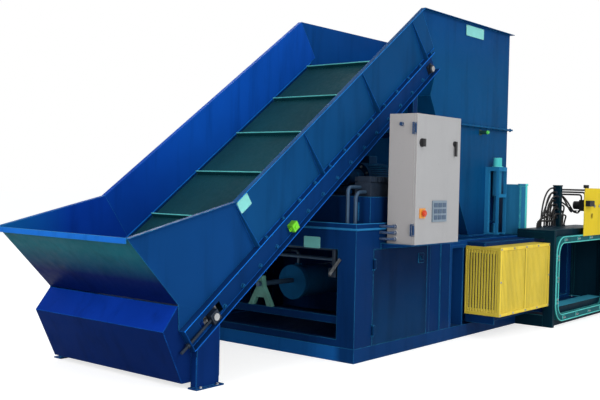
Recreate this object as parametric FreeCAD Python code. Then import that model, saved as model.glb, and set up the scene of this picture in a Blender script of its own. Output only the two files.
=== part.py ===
import FreeCAD, Part
import math
import os

os.makedirs("parts", exist_ok=True)

# A two-ram recycling baler with its cleated infeed conveyor, in millimetres.
# X runs along the main ram towards the bale chamber, Y away from the control side, Z up from the
# floor. Pieces are drawn from the body's near left corner and shifted to the origin at the end.

# Clearances
seat_gap = 0.3
shaft_gap = 0.05
slide_gap = 4.0
cut_over = 1.0

# Body frame
body_width = 2380.0
hoop_reach = 80.0
skid_height = 130.0
skid_width = 150.0
skid_wall = 12.0
anchor_inset_x = 250.0
anchor_inset_y = 230.0
anchor_hole = 26.0
anchor_plate = 20.0
anchor_margin = 78.0
bay_length = 1700.0
post_width = 120.0
corner_post_width = 200.0
post_wall = 10.0
deck_level = 1200.0
deck_plate = 12.0
deck_overhang = 15.0
deck_kerb = 60.0
header_depth = 180.0
low_beam_level = 400.0
low_beam_depth = 70.0
door_post_width = 60.0
end_cover = 210.0
end_post_width = 190.0
cover_plate = 6.0
door_stile = 285.0
door_rib = 12.0
latch_inset = 120.0
latch_plate = 48.0
latch_radius = 22.0
latch_reach = 20.0
shelf_overhang = 50.0
hinge_radius = 11.0
hinge_leaf = 5.0
hinge_leaf_reach = 40.0
hinge_pin = 5.0
hinge_height = 90.0
hinge_foot = 20.0

# Charge box and bale chamber
chamber_width = 1540.0
chamber_floor = 220.0
chamber_height = 740.0
wall_plate = 30.0
rib_plate = 20.0
rib_height = 80.0
charge_hoops = 7
chamber_hoops = 7
throat_curb = 80.0
throat_back = 60.0
throat_front = 50.0
ram_lead = 10.0
ram_rest = 40.0
bale_width = 1120.0
end_wall = 40.0
rod_hole_gap = 5.0
platen_rest = 40.0
platen_stop = 60.0

# Rams
ram_length = 1000.0
main_stroke = 880.0
main_bore = 130.0
main_barrel = 160.0
main_rod = 80.0
main_spare = 30.0
main_flange = 216.0
main_hub = 128.0
ejector_bore = 95.0
ejector_barrel = 112.0
ejector_rod = 60.0
ejector_spare = 50.0
ejector_flange = 162.0
ejector_hub = 110.0
piston_length = 90.0
gland_length = 80.0
cap_length = 60.0
flange_plate = 30.0
band_thickness = 18.0
port_radius = 27.0
port_inset = 100.0

# Bale door, its tracks and cylinder
door_lap = 30.0
door_rise = 40.0
door_travel = 1170.0
door_back = 15.0
door_depth = 175.0
door_skin = 40.0
door_ribs = 6
track_run_out = 400.0
track_plate = 20.0
track_lip = 15.0
lip_cover = 30.0
door_cylinder_y = 270.0
door_cylinder_z = 600.0
door_barrel = 45.0
door_bore = 36.0
door_rod = 20.0

# Guard over the stored door
guard_overhang = 30.0
guard_length = 1240.0
guard_depth = 410.0
guard_bottom = 250.0
guard_top = 976.0
guard_bar = 34.0
guard_slat = 22.0
guard_slat_plate = 8.0
guard_slat_pitch = 30.0
guard_rail = 4.0

# Wire track and tie head
track_left = 335.0
track_right = 200.0
track_under = 165.0
track_over = 85.0
track_section = 80.0
track_depth = 66.0
track_groove = 22.0
track_corner = 210.0
track_front = 470.0
clip_plate = 8.0
clip_length = 70.0
clip_width = 36.0
portal_bar = 50.0
portal_top = 75.0
portal_lap = 40.0
portal_depth = 120.0
portal_front = 460.0
tier_beam = 25.0
exit_floor = 212.0
mast_offset = 50.0
mast_width = 70.0
mast_depth = 90.0
mast_top = 1640.0
mast_cap = 16.0
tie_plate = 12.0
tie_gap = 76.0
tie_offset = 143.0
tie_width = 600.0
tie_height = 490.0
tie_drop = 90.0
tie_inset = 230.0
tie_chamfer = 120.0
tie_wheel = 82.0
tie_wheel_width = 40.0
tie_wheel_x = 378.0
tie_wheel_z = 270.0
tie_shaft = 18.0
tie_spacer_inset = 60.0
tie_hole = 34.0
tie_hole_x = 243.0
tie_hole_z = 150.0
tie_motor = 70.0
tie_motor_depth = 130.0
tie_nose = 52.0
tie_nose_depth = 90.0
tie_knob_stem = 20.0
tie_knob = 34.0
tie_knob_rise = 150.0
tie_knob_cap = 40.0
tie_valve_x = 20.0
tie_valve_z = 270.0
tie_valve_width = 150.0
tie_valve_depth = 55.0
tie_valve_height = 70.0
hose_radius = 11.0
hose_count = 4
hose_pitch = 22.0
hose_start_pitch = 85.0
hose_rise = 86.0
hose_bend = 60.0
head_hoses = 3
head_hose_pitch = 30.0
head_hose_drop = 40.0

# Gate tower and valve box on the chamber roof
tower_start = 360.0
tower_width = 200.0
tower_depth = 184.0
tower_top = 1830.0
tower_bar = 40.0
tower_head = 10.0
gate_bottom = 1150.0
gate_height = 330.0
gate_travel = 250.0
gate_spare = 51.0
gate_plate = 32.0
gate_lap = 40.0
gate_arm = 25.0
gate_barrel = 50.0
gate_collar = 65.0
gate_bore = 38.0
gate_rod = 20.0
gate_cylinder_bottom = 1500.0
box_back = 260.0
box_width = 200.0
box_near = 60.0
box_gap = 120.0
box_height = 600.0
box_rim = 8.0
box_rim_height = 24.0
box_lid = 10.0
box_lid_inset = 14.0

# Conveyor
incline = math.radians(35.5)
tail_z = 546.0
conveyor_length = 3980.0
conveyor_clearance = 40.0
frame_tail = 330.0
frame_head = 110.0
frame_above = 140.0
frame_below = 70.0
frame_flange = 60.0
frame_wall = 8.0
belt_margin = 30.0
belt_thickness = 10.0
drum_radius = 110.0
drum_shell = 12.0
drum_disc = 15.0
drum_disc_inset = 25.0
drum_hub = 51.0
drum_margin = 35.0
conveyor_shaft = 30.0
key_width = 10.0
key_depth = 6.0
key_length = 40.0
bed_start = 170.0
bed_rail = 20.0
bed_rail_inset = 150.0
cross_count = 5
cross_end = 300.0
cleat_count = 12
cleat_start = 340.0
cleat_height = 50.0
cleat_base = 44.0
cleat_plate = 6.0
cleat_margin = 20.0
skirt_height = 470.0
skirt_plate = 6.0
skirt_start = 714.0
skirt_overrun = 213.0
skirt_lip = 45.0
gusset_end = 260.0
gusset_count = 4
gusset_depth = 64.0
gusset_top = 10.0
lip_reach = 886.0
lip_rise = 657.0
fold_reach = 360.0
fold_rise = 121.0
front_plate = 7.5
toe_back = 110.0
toe_rise = 30.0
box_reach = 508.0
box_drop = 72.0
box_toe_reach = 302.0
box_toe_z = 50.0
box_toe_back = 110.0
box_seam = 8.0
box_side_rise = 60.0
leg_back = 210.0
leg_width = 245.0
foot_plate = 12.0
foot_margin = 30.0
foot_hole = 14.0
foot_hole_inset = 30.0
support_back = 300.0
support_width = 84.0
support_brace = 60.0
support_brace_drop = 384.0
takeup_block = 90.0
takeup_screw = 12.0
takeup_nut = 20.0
takeup_overrun = 100.0
bearing_plate = 16.0
bearing_hub = 45.0
bearing_hub_length = 24.0
cross_size = 60.0
gearbox_depth = 150.0
gearbox_half = 95.0
gearbox_back = 330.0
gearbox_nose = 90.0
gearbox_round = 118.0
motor_offset = 250.0
drive_motor_radius = 92.0
drive_motor_length = 400.0
drive_box = 100.0
drive_box_reach = 140.0
drive_box_inset = 60.0
drive_box_rise = 58.0
torque_arm = 50.0
switch_place = 1150.0
switch_length = 76.0
switch_depth = 62.0
switch_height = 70.0
switch_eye = 26.0
switch_eye_plate = 6.0
switch_boss = 20.0
switch_boss_depth = 12.0

# Hopper
hopper_rise = 623.0
hopper_overrun = 40.0
hopper_plate = 6.0
hopper_step = 20.0
seam_level = 2305.0
seam_flange = 50.0
seam_plate = 10.0
seam_bolt_count = 12
seam_bolt = 13.0
seam_bolt_head = 10.0
chute_back = 20.0
chute_run = 925.0
chute_drop = 277.0
head_back = 45.0
eye_offset = 205.0
eye_drop = 65.0
eye_bracket = 6.0
eye_margin = 9.0
eye_radius = 22.0
eye_length = 95.0
eye_lens = 16.0
eye_lens_depth = 12.0

# Cabinet
cabinet_x = 450.0
cabinet_width = 800.0
cabinet_level = 1072.0
cabinet_height = 1200.0
cabinet_depth = 300.0
cabinet_back = 32.0
cabinet_skin = 3.0
cabinet_plate_inset = 60.0
cabinet_plate = 20.0
cabinet_door = 22.0
door_panel_skin = 2.5
door_fold = 14.0
strap_width = 60.0
strap_inset = 160.0
strap_short = 120.0
shelf_plate = 12.0
vent_radius = 20.0
vent_depth = 26.0
vent_drop = 95.0
conduit_radius = 13.0
conduit_count = 3
conduit_pitch = 58.0
conduit_level = 44.0
conduit_reach = 70.0
conduit_bend = 40.0
conduit_gland = 22.0
conduit_gland_length = 26.0
conduit_back = 120.0
knob_inset = 80.0
knob_height = 936.0
knob_spindle = 9.0
knob_base = 40.0
knob_base_depth = 12.0
knob_grip = 22.0
knob_grip_length = 72.0
knob_grip_depth = 30.0
handle_inset = 120.0
handle_height = 948.0
handle_rose = 26.0
handle_rose_depth = 14.0
handle_width = 26.0
handle_thickness = 16.0
handle_drop = 120.0
handle_rise = 22.0
button_inset = 112.0
button_height = 288.0
button_stem = 11.0
button_head = 30.0
button_crown = 22.0
button_lift = 22.0
button_head_depth = 14.0
button_crown_depth = 6.0
button_plate = 92.0
button_plate_depth = 10.0
keypad_inset = 288.0
keypad_height = 204.0
keypad_width = 260.0
keypad_rise = 200.0
keypad_depth = 12.0
key_proud = 5.0
key_columns = 3
key_margin = 22.0
key_gap = 18.0

# Hydraulic unit
tank_x = 300.0
tank_end_gap = 20.0
tank_near = 60.0
tank_depth = 1500.0
tank_height = 288.0
tank_cover = 110.0
tank_cover_plate = 14.0
tank_cover_inset_x = 160.0
tank_cover_inset_y = 220.0
filler_x = 640.0
filler_inset_y = 160.0
filler_radius = 38.0
filler_height = 90.0
gauge_near = 130.0
gauge_width = 30.0
gauge_depth = 12.0
gauge_level = 60.0
gauge_height = 170.0
support_gap = 5.0
motor_x = 700.0
motor_near = 480.0
motor_far = 40.0
motor_radius = 150.0
motor_length = 460.0
motor_foot = 30.0
motor_foot_inset = 60.0
motor_foot_width = 220.0
fan_cover = 60.0
fan_cover_radius = 140.0
bell_length = 90.0
bell_radius = 82.0
pump_length = 140.0
pump_radius = 75.0
terminal_box_x = 120.0
terminal_box_length = 140.0
terminal_box_width = 120.0
terminal_box_height = 75.0
block_x = 40.0
block_length = 420.0
block_near = 30.0
block_depth = 180.0
block_height = 130.0
valve_count = 5
valve_height = 60.0
valve_margin = 18.0
valve_space = 14.0
solenoid_radius = 22.0
solenoid_reach = 20.0
pipe_radius = 17.0
pipe_bend = 70.0
pipe_drop_x = 70.0
pipe_spread = 40.0
pipe_level_gap = 110.0
pipe_level_rise = 90.0
feed_radius = 25.0
feed_rise = 20.0
feed_stub = 30.0
bracket_foot = 150.0
bracket_foot_inner = 90.0
bracket_crotch = 55.0
bracket_crotch_rise = 80.0
bracket_shoulder = 42.0
bracket_neck = 26.0
bracket_rise = 100.0
bracket_play = 4.0
valve_half = 40.0
valve_drop = 220.0
valve_lap = 15.0
valve_stand_off = 66.0
valve_neck = 24.0
valve_bonnet = 24.0
valve_bonnet_length = 16.0
lever_spindle = 9.0
lever_width = 28.0
lever_thickness = 8.0
lever_tail = 20.0
lever_length = 190.0
lever_slant = 38.0

# Worked out from the sizes above
mid_y = body_width / 2
conveyor_width = chamber_width + 2 * conveyor_clearance
conveyor_near = mid_y - conveyor_width / 2
far_y = mid_y + conveyor_width / 2
chamber_near = mid_y - chamber_width / 2
chamber_far = mid_y + chamber_width / 2
roof = chamber_floor + chamber_height
rib_top = roof + rib_height
axis_z = chamber_floor + chamber_height / 2
ram_face = bay_length + end_wall + ram_rest + ram_length
chamber_start = ram_face + main_stroke
chamber_end = chamber_start + bale_width
chamber_mid = chamber_start + bale_width / 2
box_end = chamber_start - wall_plate
body_length = chamber_end + end_wall + hoop_reach
throat_start = ram_face + ram_lead
throat_end = chamber_start - throat_front
ejector_length = body_width - chamber_far - platen_rest
ejector_stroke = chamber_far - platen_stop
main_barrel_length = main_stroke + gland_length + cap_length + piston_length + main_spare
ejector_barrel_length = ejector_stroke + gland_length + cap_length + piston_length + ejector_spare
end_post_x = bay_length - end_post_width
door_post_x = end_post_x - end_cover - door_post_width
door_length = bale_width + 2 * door_lap
door_open_start = chamber_start - door_lap - door_travel
door_level = chamber_floor - door_rise
door_height = chamber_height + 2 * door_rise
track_start = door_open_start - track_run_out
guard_start = track_start - guard_overhang
thrust_face = body_width + end_wall
far_end = thrust_face + ejector_barrel_length
chute_foot_x = throat_start - chute_back
chute_top_x = chute_foot_x - chute_run
head_x = chute_top_x - head_back
tail_x = head_x - conveyor_length * math.cos(incline)
head_z = tail_z + conveyor_length * math.sin(incline)
chute_top_z = head_z - chute_drop
hopper_top = head_z + hopper_rise
hopper_end = chamber_start + hopper_overrun
chute_slope = (chute_foot_x - chute_top_x) / (chute_top_z - rib_top)
belt_outer = drum_radius + seat_gap + belt_thickness
skirt_end = conveyor_length + skirt_overrun
gusset_pitch = (skirt_end - skirt_start - gusset_end) / (gusset_count - 1)
lip_x = tail_x - lip_reach
lip_z = tail_z + lip_rise
fold_x = tail_x - fold_reach
fold_z = tail_z + fold_rise
box_front_x = tail_x - box_reach
box_front_z = tail_z - box_drop
box_toe_x = tail_x - box_toe_reach
box_back_x = tail_x + box_toe_back
leg_x = tail_x - leg_back
support_x = bay_length - support_back
tank_length = bay_length - tank_x - tank_end_gap
tower_x = throat_start + tower_start
tower_near = conveyor_near - hopper_plate - tower_depth
box_x = hopper_end - box_back
box_depth = conveyor_near - box_gap - box_near
header_bottom = deck_level - header_depth
ring_x0 = chamber_start - track_left
ring_x1 = chamber_end + track_right
ring_z0 = chamber_floor - track_under
ring_z1 = roof + track_over
ring_back = track_depth - track_front
portal_x0 = ring_x0 - portal_bar
portal_x1 = ring_x1 + portal_bar
portal_z = ring_z1 + portal_top
tie_x = chamber_mid - tie_offset
tie_front = -(track_front + clip_plate + seat_gap + tie_plate)
front_most = tie_front - tie_valve_depth
shift = FreeCAD.Vector(-(lip_x + portal_x1) / 2, -(far_end + front_most) / 2, 0)


def vec(x, y, z):
    return FreeCAD.Vector(x, y, z)


def block(x0, x1, y0, y1, z0, z1):
    return Part.makeBox(x1 - x0, y1 - y0, z1 - z0, vec(x0, y0, z0))


def rod(start, direction, length, radius):
    return Part.makeCylinder(radius, length, start, direction)


def outline_y(points, y0, y1):
    """A plate with an outline of (x, z) points, lying between two values of Y."""
    corners = [vec(x, y0, z) for x, z in points]
    return Part.Face(Part.makePolygon(corners + corners[:1])).extrude(vec(0, y1 - y0, 0))


def outline_x(points, x0, x1):
    """A plate with an outline of (y, z) points, lying between two values of X."""
    corners = [vec(x0, y, z) for y, z in points]
    return Part.Face(Part.makePolygon(corners + corners[:1])).extrude(vec(x1 - x0, 0, 0))


def join(shapes):
    first = shapes[0]
    if len(shapes) > 1:
        first = first.fuse(shapes[1:])
    return first.removeSplitter()


def mirror_y(shape, y):
    return shape.mirror(vec(0, y, 0), vec(0, 1, 0))


def both_sides(shape):
    return [shape, mirror_y(shape, mid_y)]


def rounded_frame(x0, x1, z0, z1, radius):
    """A closed wire in the XZ plane: a rectangle with round corners."""
    k = radius * (1 - math.sqrt(0.5))
    a = [vec(x0 + radius, 0, z0), vec(x1 - radius, 0, z0)]
    b = [vec(x1, 0, z0 + radius), vec(x1, 0, z1 - radius)]
    c = [vec(x1 - radius, 0, z1), vec(x0 + radius, 0, z1)]
    d = [vec(x0, 0, z1 - radius), vec(x0, 0, z0 + radius)]
    edges = [
        Part.LineSegment(a[0], a[1]).toShape(),
        Part.Arc(a[1], vec(x1 - k, 0, z0 + k), b[0]).toShape(),
        Part.LineSegment(b[0], b[1]).toShape(),
        Part.Arc(b[1], vec(x1 - k, 0, z1 - k), c[0]).toShape(),
        Part.LineSegment(c[0], c[1]).toShape(),
        Part.Arc(c[1], vec(x0 + k, 0, z1 - k), d[0]).toShape(),
        Part.LineSegment(d[0], d[1]).toShape(),
        Part.Arc(d[1], vec(x0 + k, 0, z0 + k), a[0]).toShape(),
    ]
    return Part.Wire(edges)


def rounded_plate(x0, x1, z0, z1, radius, y0, y1):
    face = Part.Face(rounded_frame(x0, x1, z0, z1, radius))
    plate = face.extrude(vec(0, y1 - y0, 0))
    plate.translate(vec(0, y0, 0))
    return plate


def turned(profile, start, axis):
    """A solid turned from (distance along the axis, radius) points about the axis."""
    side = axis.cross(vec(0, 0, 1) if abs(axis.z) < 0.9 else vec(1, 0, 0)).normalize()
    corners = [start + axis * along + side * radius for along, radius in profile]
    return Part.Face(Part.makePolygon(corners + corners[:1])).revolve(start, axis, 360)


def prism(start, axis, length, radius, sides):
    """A bar with flat sides, such as a hexagon head, along an axis."""
    side = axis.cross(vec(0, 0, 1) if abs(axis.z) < 0.9 else vec(1, 0, 0)).normalize()
    over = axis.cross(side)
    corners = []
    for k in range(sides):
        angle = 2 * math.pi * k / sides
        corners.append(start + side * (radius * math.cos(angle)) + over * (radius * math.sin(angle)))
    return Part.Face(Part.makePolygon(corners + corners[:1])).extrude(axis * length)


def bent_path(corners, bend):
    """The points of a pipe's middle line, with four points on the arc at each corner."""
    path = [corners[0]]
    for before, corner, after in zip(corners, corners[1:], corners[2:]):
        into = (corner - before).normalize()
        out = (after - corner).normalize()
        turn = into.getAngle(out)
        start = corner - into * (bend * math.tan(turn / 2))
        inward = (out - into * into.dot(out)).normalize()
        for part in range(4):
            angle = turn * part / 3
            path.append(start + into * (bend * math.sin(angle))
                        + inward * (bend * (1 - math.cos(angle))))
    path.append(corners[-1])
    return path


def bent_pipe(points, radius, bend, sides):
    """A pipe of flat facets: straight runs, and three short runs round each corner."""
    path = bent_path([vec(*point) for point in points], bend)
    first = (path[1] - path[0]).normalize()
    across = first.cross(vec(0, 0, 1) if abs(first.z) < 0.9 else vec(1, 0, 0)).normalize()
    over = first.cross(across)
    ring = []
    for k in range(sides):
        angle = 2 * math.pi * k / sides
        ring.append(path[0] + across * (radius * math.cos(angle)) + over * (radius * math.sin(angle)))
    faces = [Part.Face(Part.makePolygon(ring + ring[:1]))]
    for i in range(1, len(path)):
        along = (path[i] - path[i - 1]).normalize()
        onward = (path[min(i + 1, len(path) - 1)] - path[i])
        mitre = (along + onward.normalize()).normalize() if onward.Length > 0 else along
        moved = [v + along * ((path[i] - v).dot(mitre) / along.dot(mitre)) for v in ring]
        for k in range(sides):
            j = (k + 1) % sides
            corners = [ring[k], ring[j], moved[j], moved[k], ring[k]]
            faces.append(Part.Face(Part.makePolygon(corners)))
        ring = moved
    faces.append(Part.Face(Part.makePolygon(ring + ring[:1])))
    solid = Part.Solid(Part.Shell(faces))
    if solid.Volume < 0:
        solid.reverse()
    return solid


def on_conveyor(shape):
    """Places a piece drawn along the conveyor: X up the incline and Z square to the belt."""
    placed = shape.copy()
    placed.rotate(vec(0, 0, 0), vec(0, 1, 0), -math.degrees(incline))
    placed.translate(vec(tail_x, 0, tail_z))
    return placed


def conveyor_point(s, n):
    """The (x, z) of a point s along the conveyor and n above the drum centres."""
    x = tail_x + s * math.cos(incline) - n * math.sin(incline)
    z = tail_z + s * math.sin(incline) + n * math.cos(incline)
    return x, z


def frame_line(x, n):
    """The height at x of the line that runs n above the drum centres."""
    return tail_z + (x - tail_x) * math.tan(incline) + n / math.cos(incline)


def channel_beam(y_web, side):
    """One long skid channel, open towards the middle of the machine."""
    y_flange = y_web + side * skid_width
    low, high = sorted((y_web, y_web + side * skid_wall))
    near, far = sorted((y_web, y_flange))
    web = block(0, body_length, low, high, 0, skid_height)
    foot = block(0, body_length, near, far, 0, skid_wall)
    top = block(0, body_length, near, far, skid_height - skid_wall, skid_height)
    return [web, foot, top]


def skid_base():
    pieces = channel_beam(0, 1) + channel_beam(body_width, -1)
    inner_far = body_width - skid_wall
    for x in (0, bay_length - skid_width, throat_start - skid_width, box_end - skid_width / 2,
              body_length - skid_width):
        cross = block(x, x + skid_width, skid_wall, inner_far, 0, skid_height)
        core = block(x + skid_wall, x + skid_width - skid_wall, skid_wall, inner_far, skid_wall,
                     skid_height - skid_wall)
        pieces.append(cross.cut(core))
    for x in (anchor_inset_x, body_length - anchor_inset_x):
        for y in (anchor_inset_y, body_width - anchor_inset_y):
            y0, y1 = sorted((y + math.copysign(anchor_margin, mid_y - y),
                             skid_wall if y < mid_y else inner_far))
            x0, x1 = sorted((x + math.copysign(anchor_margin, bay_length - x),
                             0 if x < bay_length else body_length))
            pieces.append(block(x0, x1, y0, y1, 0, anchor_plate))
    outrigger = chamber_start + skid_width
    for x in (outrigger, chamber_end - 2 * skid_width):
        beam = block(x, x + skid_width, body_width, far_end, 0, skid_height)
        core = block(x + skid_wall, x + skid_width - skid_wall, body_width, far_end, skid_wall,
                     skid_height - skid_wall)
        pieces.append(beam.cut(core))
    for y in (far_end - skid_width, far_end - 3 * skid_width):
        pieces.append(block(outrigger + skid_width, chamber_end - 2 * skid_width, y,
                            y + skid_width / 2, 0, skid_height))
    saddle_y = far_end - 3 * skid_width
    saddle = block(chamber_mid - ejector_flange, chamber_mid + ejector_flange,
                   saddle_y, saddle_y + wall_plate, skid_height, axis_z)
    bed = rod(vec(chamber_mid, saddle_y, axis_z), vec(0, 1, 0), skid_width,
              ejector_barrel + seat_gap)
    pieces.append(saddle.cut(bed))
    base = join(pieces)
    for x in (anchor_inset_x, body_length - anchor_inset_x):
        for y in (anchor_inset_y, body_width - anchor_inset_y):
            base = base.cut(rod(vec(x, y, -cut_over), vec(0, 0, 1), skid_height, anchor_hole / 2))
    return base


def hollow_post(x0, x1, y0, y1, z0, z1):
    core = block(x0 + post_wall, x1 - post_wall, y0 + post_wall, y1 - post_wall, z0, z1)
    return block(x0, x1, y0, y1, z0, z1).cut(core)


def bay_frame():
    pieces = []
    far = body_width
    rail_x0 = bay_length
    low = header_bottom
    for y0, y1 in ((0, corner_post_width), (far - corner_post_width, far)):
        pieces.append(hollow_post(0, post_width, y0, y1, skid_height, deck_level))
    for y in (0, far - post_width):
        pieces.append(hollow_post(end_post_x, rail_x0, y, y + post_width, skid_height, deck_level))
        pieces.append(hollow_post(door_post_x, door_post_x + door_post_width, y, y + post_width,
                                  skid_height, deck_level))
        pieces.append(block(0, rail_x0, y, y + post_width / 2, low, deck_level))
    for x in (0, rail_x0 - post_width):
        pieces.append(block(x, x + post_width / 2, 0, far, low, deck_level))
    pieces.append(block(post_width / 2, post_width, corner_post_width, far - corner_post_width,
                        low_beam_level - low_beam_depth, low_beam_level))
    pieces.append(block(0, post_width / 2, corner_post_width, far - corner_post_width, skid_height,
                        skid_height + low_beam_depth))
    for x0, x1 in ((post_width, door_stile), (door_post_x + door_post_width, end_post_x)):
        pieces.append(block(x0, x1, post_wall, post_wall + cover_plate, skid_height, deck_level))
    pieces.append(block(post_width, end_post_x, far - post_wall - cover_plate, far - post_wall,
                        skid_height, deck_level))
    pieces.append(block(post_width / 2, rail_x0, corner_post_width, far - corner_post_width,
                        skid_height, skid_height + cover_plate))
    x0 = cabinet_x - shelf_overhang
    x1 = cabinet_x + cabinet_width + shelf_overhang
    shelf_y = -(cabinet_back + cabinet_depth)
    shelf_z = cabinet_level - shelf_plate
    pieces.append(block(x0, x1, shelf_y, 0, shelf_z, cabinet_level))
    for x in (x0, (x0 + x1) / 2, x1 - shelf_plate):
        pieces.append(outline_x([(0, low), (0, shelf_z), (shelf_y, shelf_z)], x, x + shelf_plate))
    for x in (cabinet_x + strap_inset, cabinet_x + cabinet_width - strap_inset - strap_width):
        pieces.append(block(x, x + strap_width, -cabinet_back, 0, cabinet_level,
                            cabinet_level + cabinet_height - strap_short))
    edge = deck_overhang
    deck = block(-edge, rail_x0, -edge, far + edge, deck_level, deck_level + deck_plate)
    window = block(post_width, tank_x - post_wall, post_width, mid_y + post_width,
                   deck_level, deck_level + deck_plate)
    pieces.append(deck.cut(window))
    pieces.append(block(0, rail_x0, 0, post_wall, deck_level, deck_level + deck_kerb))
    pieces.append(block(0, post_wall, 0, far, deck_level, deck_level + deck_kerb))
    return join(pieces + [access_hinges()])


def access_door():
    """The hinged panel on the near side of the bay, with its latch and hinge barrels."""
    x0 = door_stile + slide_gap
    x1 = door_post_x - slide_gap
    z0 = skid_height + slide_gap
    z1 = header_bottom - slide_gap
    pieces = [block(x0, x1, 0, cover_plate, z0, z1)]
    for z in (z0 + latch_inset, (z0 + z1) / 2, z1 - latch_inset):
        pieces.append(block(x0 + post_wall, x1 - post_wall, cover_plate, cover_plate + door_rib,
                            z - post_wall, z))
    latch_x = x1 - latch_inset
    latch_z = z1 - latch_inset
    pieces.append(prism(vec(latch_x, 0, latch_z), vec(0, -1, 0), latch_reach, latch_radius, 8))
    pieces.append(block(latch_x - latch_plate, latch_x + latch_plate, -cover_plate, 0,
                        latch_z - latch_plate, latch_z + latch_plate))
    pin_x = x0 - slide_gap
    for z in hinge_levels(z0, z1):
        pieces.append(rod(vec(pin_x, -hinge_radius, z), vec(0, 0, 1), hinge_height, hinge_radius))
        pieces.append(block(pin_x, x0 + hinge_leaf_reach, -hinge_leaf, 0, z, z + hinge_height))
    panel = join(pieces)
    for z in hinge_levels(z0, z1):
        panel = panel.cut(rod(vec(pin_x, -hinge_radius, z - cut_over), vec(0, 0, 1),
                              hinge_height + 2 * cut_over, hinge_pin + shaft_gap))
    return panel


def hinge_levels(z0, z1):
    return (z0 + hinge_height, z1 - 2 * hinge_height)


def hinge_pins(x, y, z0, z1):
    """Pins with an ear under and over each barrel of a hung door; the ears reach back a foot."""
    pins = []
    for z in hinge_levels(z0, z1):
        pins.append(rod(vec(x, y, z - hinge_radius), vec(0, 0, 1),
                        hinge_height + 2 * hinge_radius, hinge_pin))
        for z_ear in (z - hinge_radius, z + hinge_height + seat_gap):
            z_top = z_ear + hinge_radius - seat_gap
            pins.append(block(x - hinge_radius, x + hinge_pin / 2, y - hinge_pin,
                              y + hinge_radius, z_ear, z_top))
    return pins


def access_hinges():
    x = door_stile
    z0 = skid_height + slide_gap
    z1 = header_bottom - slide_gap
    pieces = hinge_pins(x, -hinge_radius, z0, z1)
    strip = block(post_width, x - slide_gap / 2, 0, post_wall, skid_height, header_bottom)
    return join([strip] + pieces)


def charge_box():
    """Welded plates: floor, walls, roof round the throat, back wall and stiffening hoops."""
    y0 = chamber_near - wall_plate
    y1 = chamber_far + wall_plate
    z0 = chamber_floor - wall_plate
    z1 = roof + wall_plate
    start = bay_length + end_wall
    edge = throat_start - throat_back
    plates = [block(start, box_end, y0, y1, z0, chamber_floor)]
    plates.append(block(start, box_end, y0, chamber_near, chamber_floor, roof))
    plates.append(block(start, box_end, chamber_far, y1, chamber_floor, roof))
    for a, b in ((0, chamber_near), (chamber_far, body_width)):
        plates.append(block(start, box_end, a, b, roof, z1))
    plates.append(block(start, throat_start, chamber_near, chamber_far, roof, z1))
    plates.append(block(throat_end, box_end, chamber_near, chamber_far, roof, z1))
    for a, b in ((edge, throat_start), (throat_end, box_end)):
        plates.append(block(a, b, chamber_near, chamber_far, z1, rib_top))
    for a, b in ((chamber_near - throat_curb, chamber_near), (chamber_far, chamber_far + throat_curb)):
        plates.append(block(edge, box_end, a, b, z1, rib_top))
    back = block(bay_length, start, 0, body_width, skid_height, rib_top)
    rod_hole = rod(vec(bay_length - cut_over, mid_y, axis_z), vec(1, 0, 0),
                   end_wall + 2 * cut_over, main_rod + rod_hole_gap)
    plates.append(back.cut(rod_hole))
    plates.append(block(start, box_end, 0, rib_plate, z1, rib_top))
    pitch = (box_end - rib_plate - bay_length) / charge_hoops
    for i in range(1, charge_hoops + 1):
        a = bay_length + i * pitch
        b = a + rib_plate
        plates.append(block(a, b, 0, y0, skid_height, roof))
        plates.append(block(a, b, y1, body_width, skid_height, roof))
        plates.append(block(a, b, y0, y1, skid_height, z0))
        if b < edge:
            plates.append(block(a, b, rib_plate, body_width, z1, rib_top))
        else:
            plates.append(block(a, b, rib_plate, chamber_near - throat_curb, z1, rib_top))
            plates.append(block(a, b, chamber_far + throat_curb, body_width, z1, rib_top))
    return Part.makeCompound(plates)


def bale_chamber():
    """Welded plates: floor, roof, end wall, side posts, stiffening hoops and the thrust plate."""
    x0 = box_end
    outer = chamber_end + end_wall
    z0 = chamber_floor - wall_plate
    z1 = roof + wall_plate
    plates = [block(x0, outer, 0, body_width, z0, chamber_floor)]
    plates.append(block(x0, outer, 0, body_width, roof, z1))
    plates.append(block(chamber_end, outer, 0, body_width, chamber_floor, roof))
    for a, b in ((0, chamber_near), (chamber_far, body_width)):
        plates.append(block(x0, chamber_start, a, b, chamber_floor, roof))
    bar = post_width / 2
    bars = [(x0, x0 + bar), (chamber_mid - bar / 2, chamber_mid + bar / 2),
            (body_length - bar, body_length)]
    for a, b in bars:
        plates.append(block(a, b, 0, body_width, z1, rib_top))
    pitch = (body_width - rib_plate) / (chamber_hoops - 1)
    for i in range(chamber_hoops):
        a = i * pitch
        b = a + rib_plate
        plates.append(block(x0, body_length, a, b, skid_height, z0))
        plates.append(block(outer, body_length, a, b, z0, z1))
        for left, right in ((bars[0][1], bars[1][0]), (bars[1][1], bars[2][0])):
            plates.append(block(left, right, a, b, z1, rib_top))
    thrust = block(x0, outer, body_width, thrust_face, skid_height, rib_top)
    hole = rod(vec(chamber_mid, body_width - cut_over, axis_z), vec(0, 1, 0),
               end_wall + 2 * cut_over, ejector_rod + rod_hole_gap)
    plates.append(thrust.cut(hole))
    return Part.makeCompound(plates)


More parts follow.
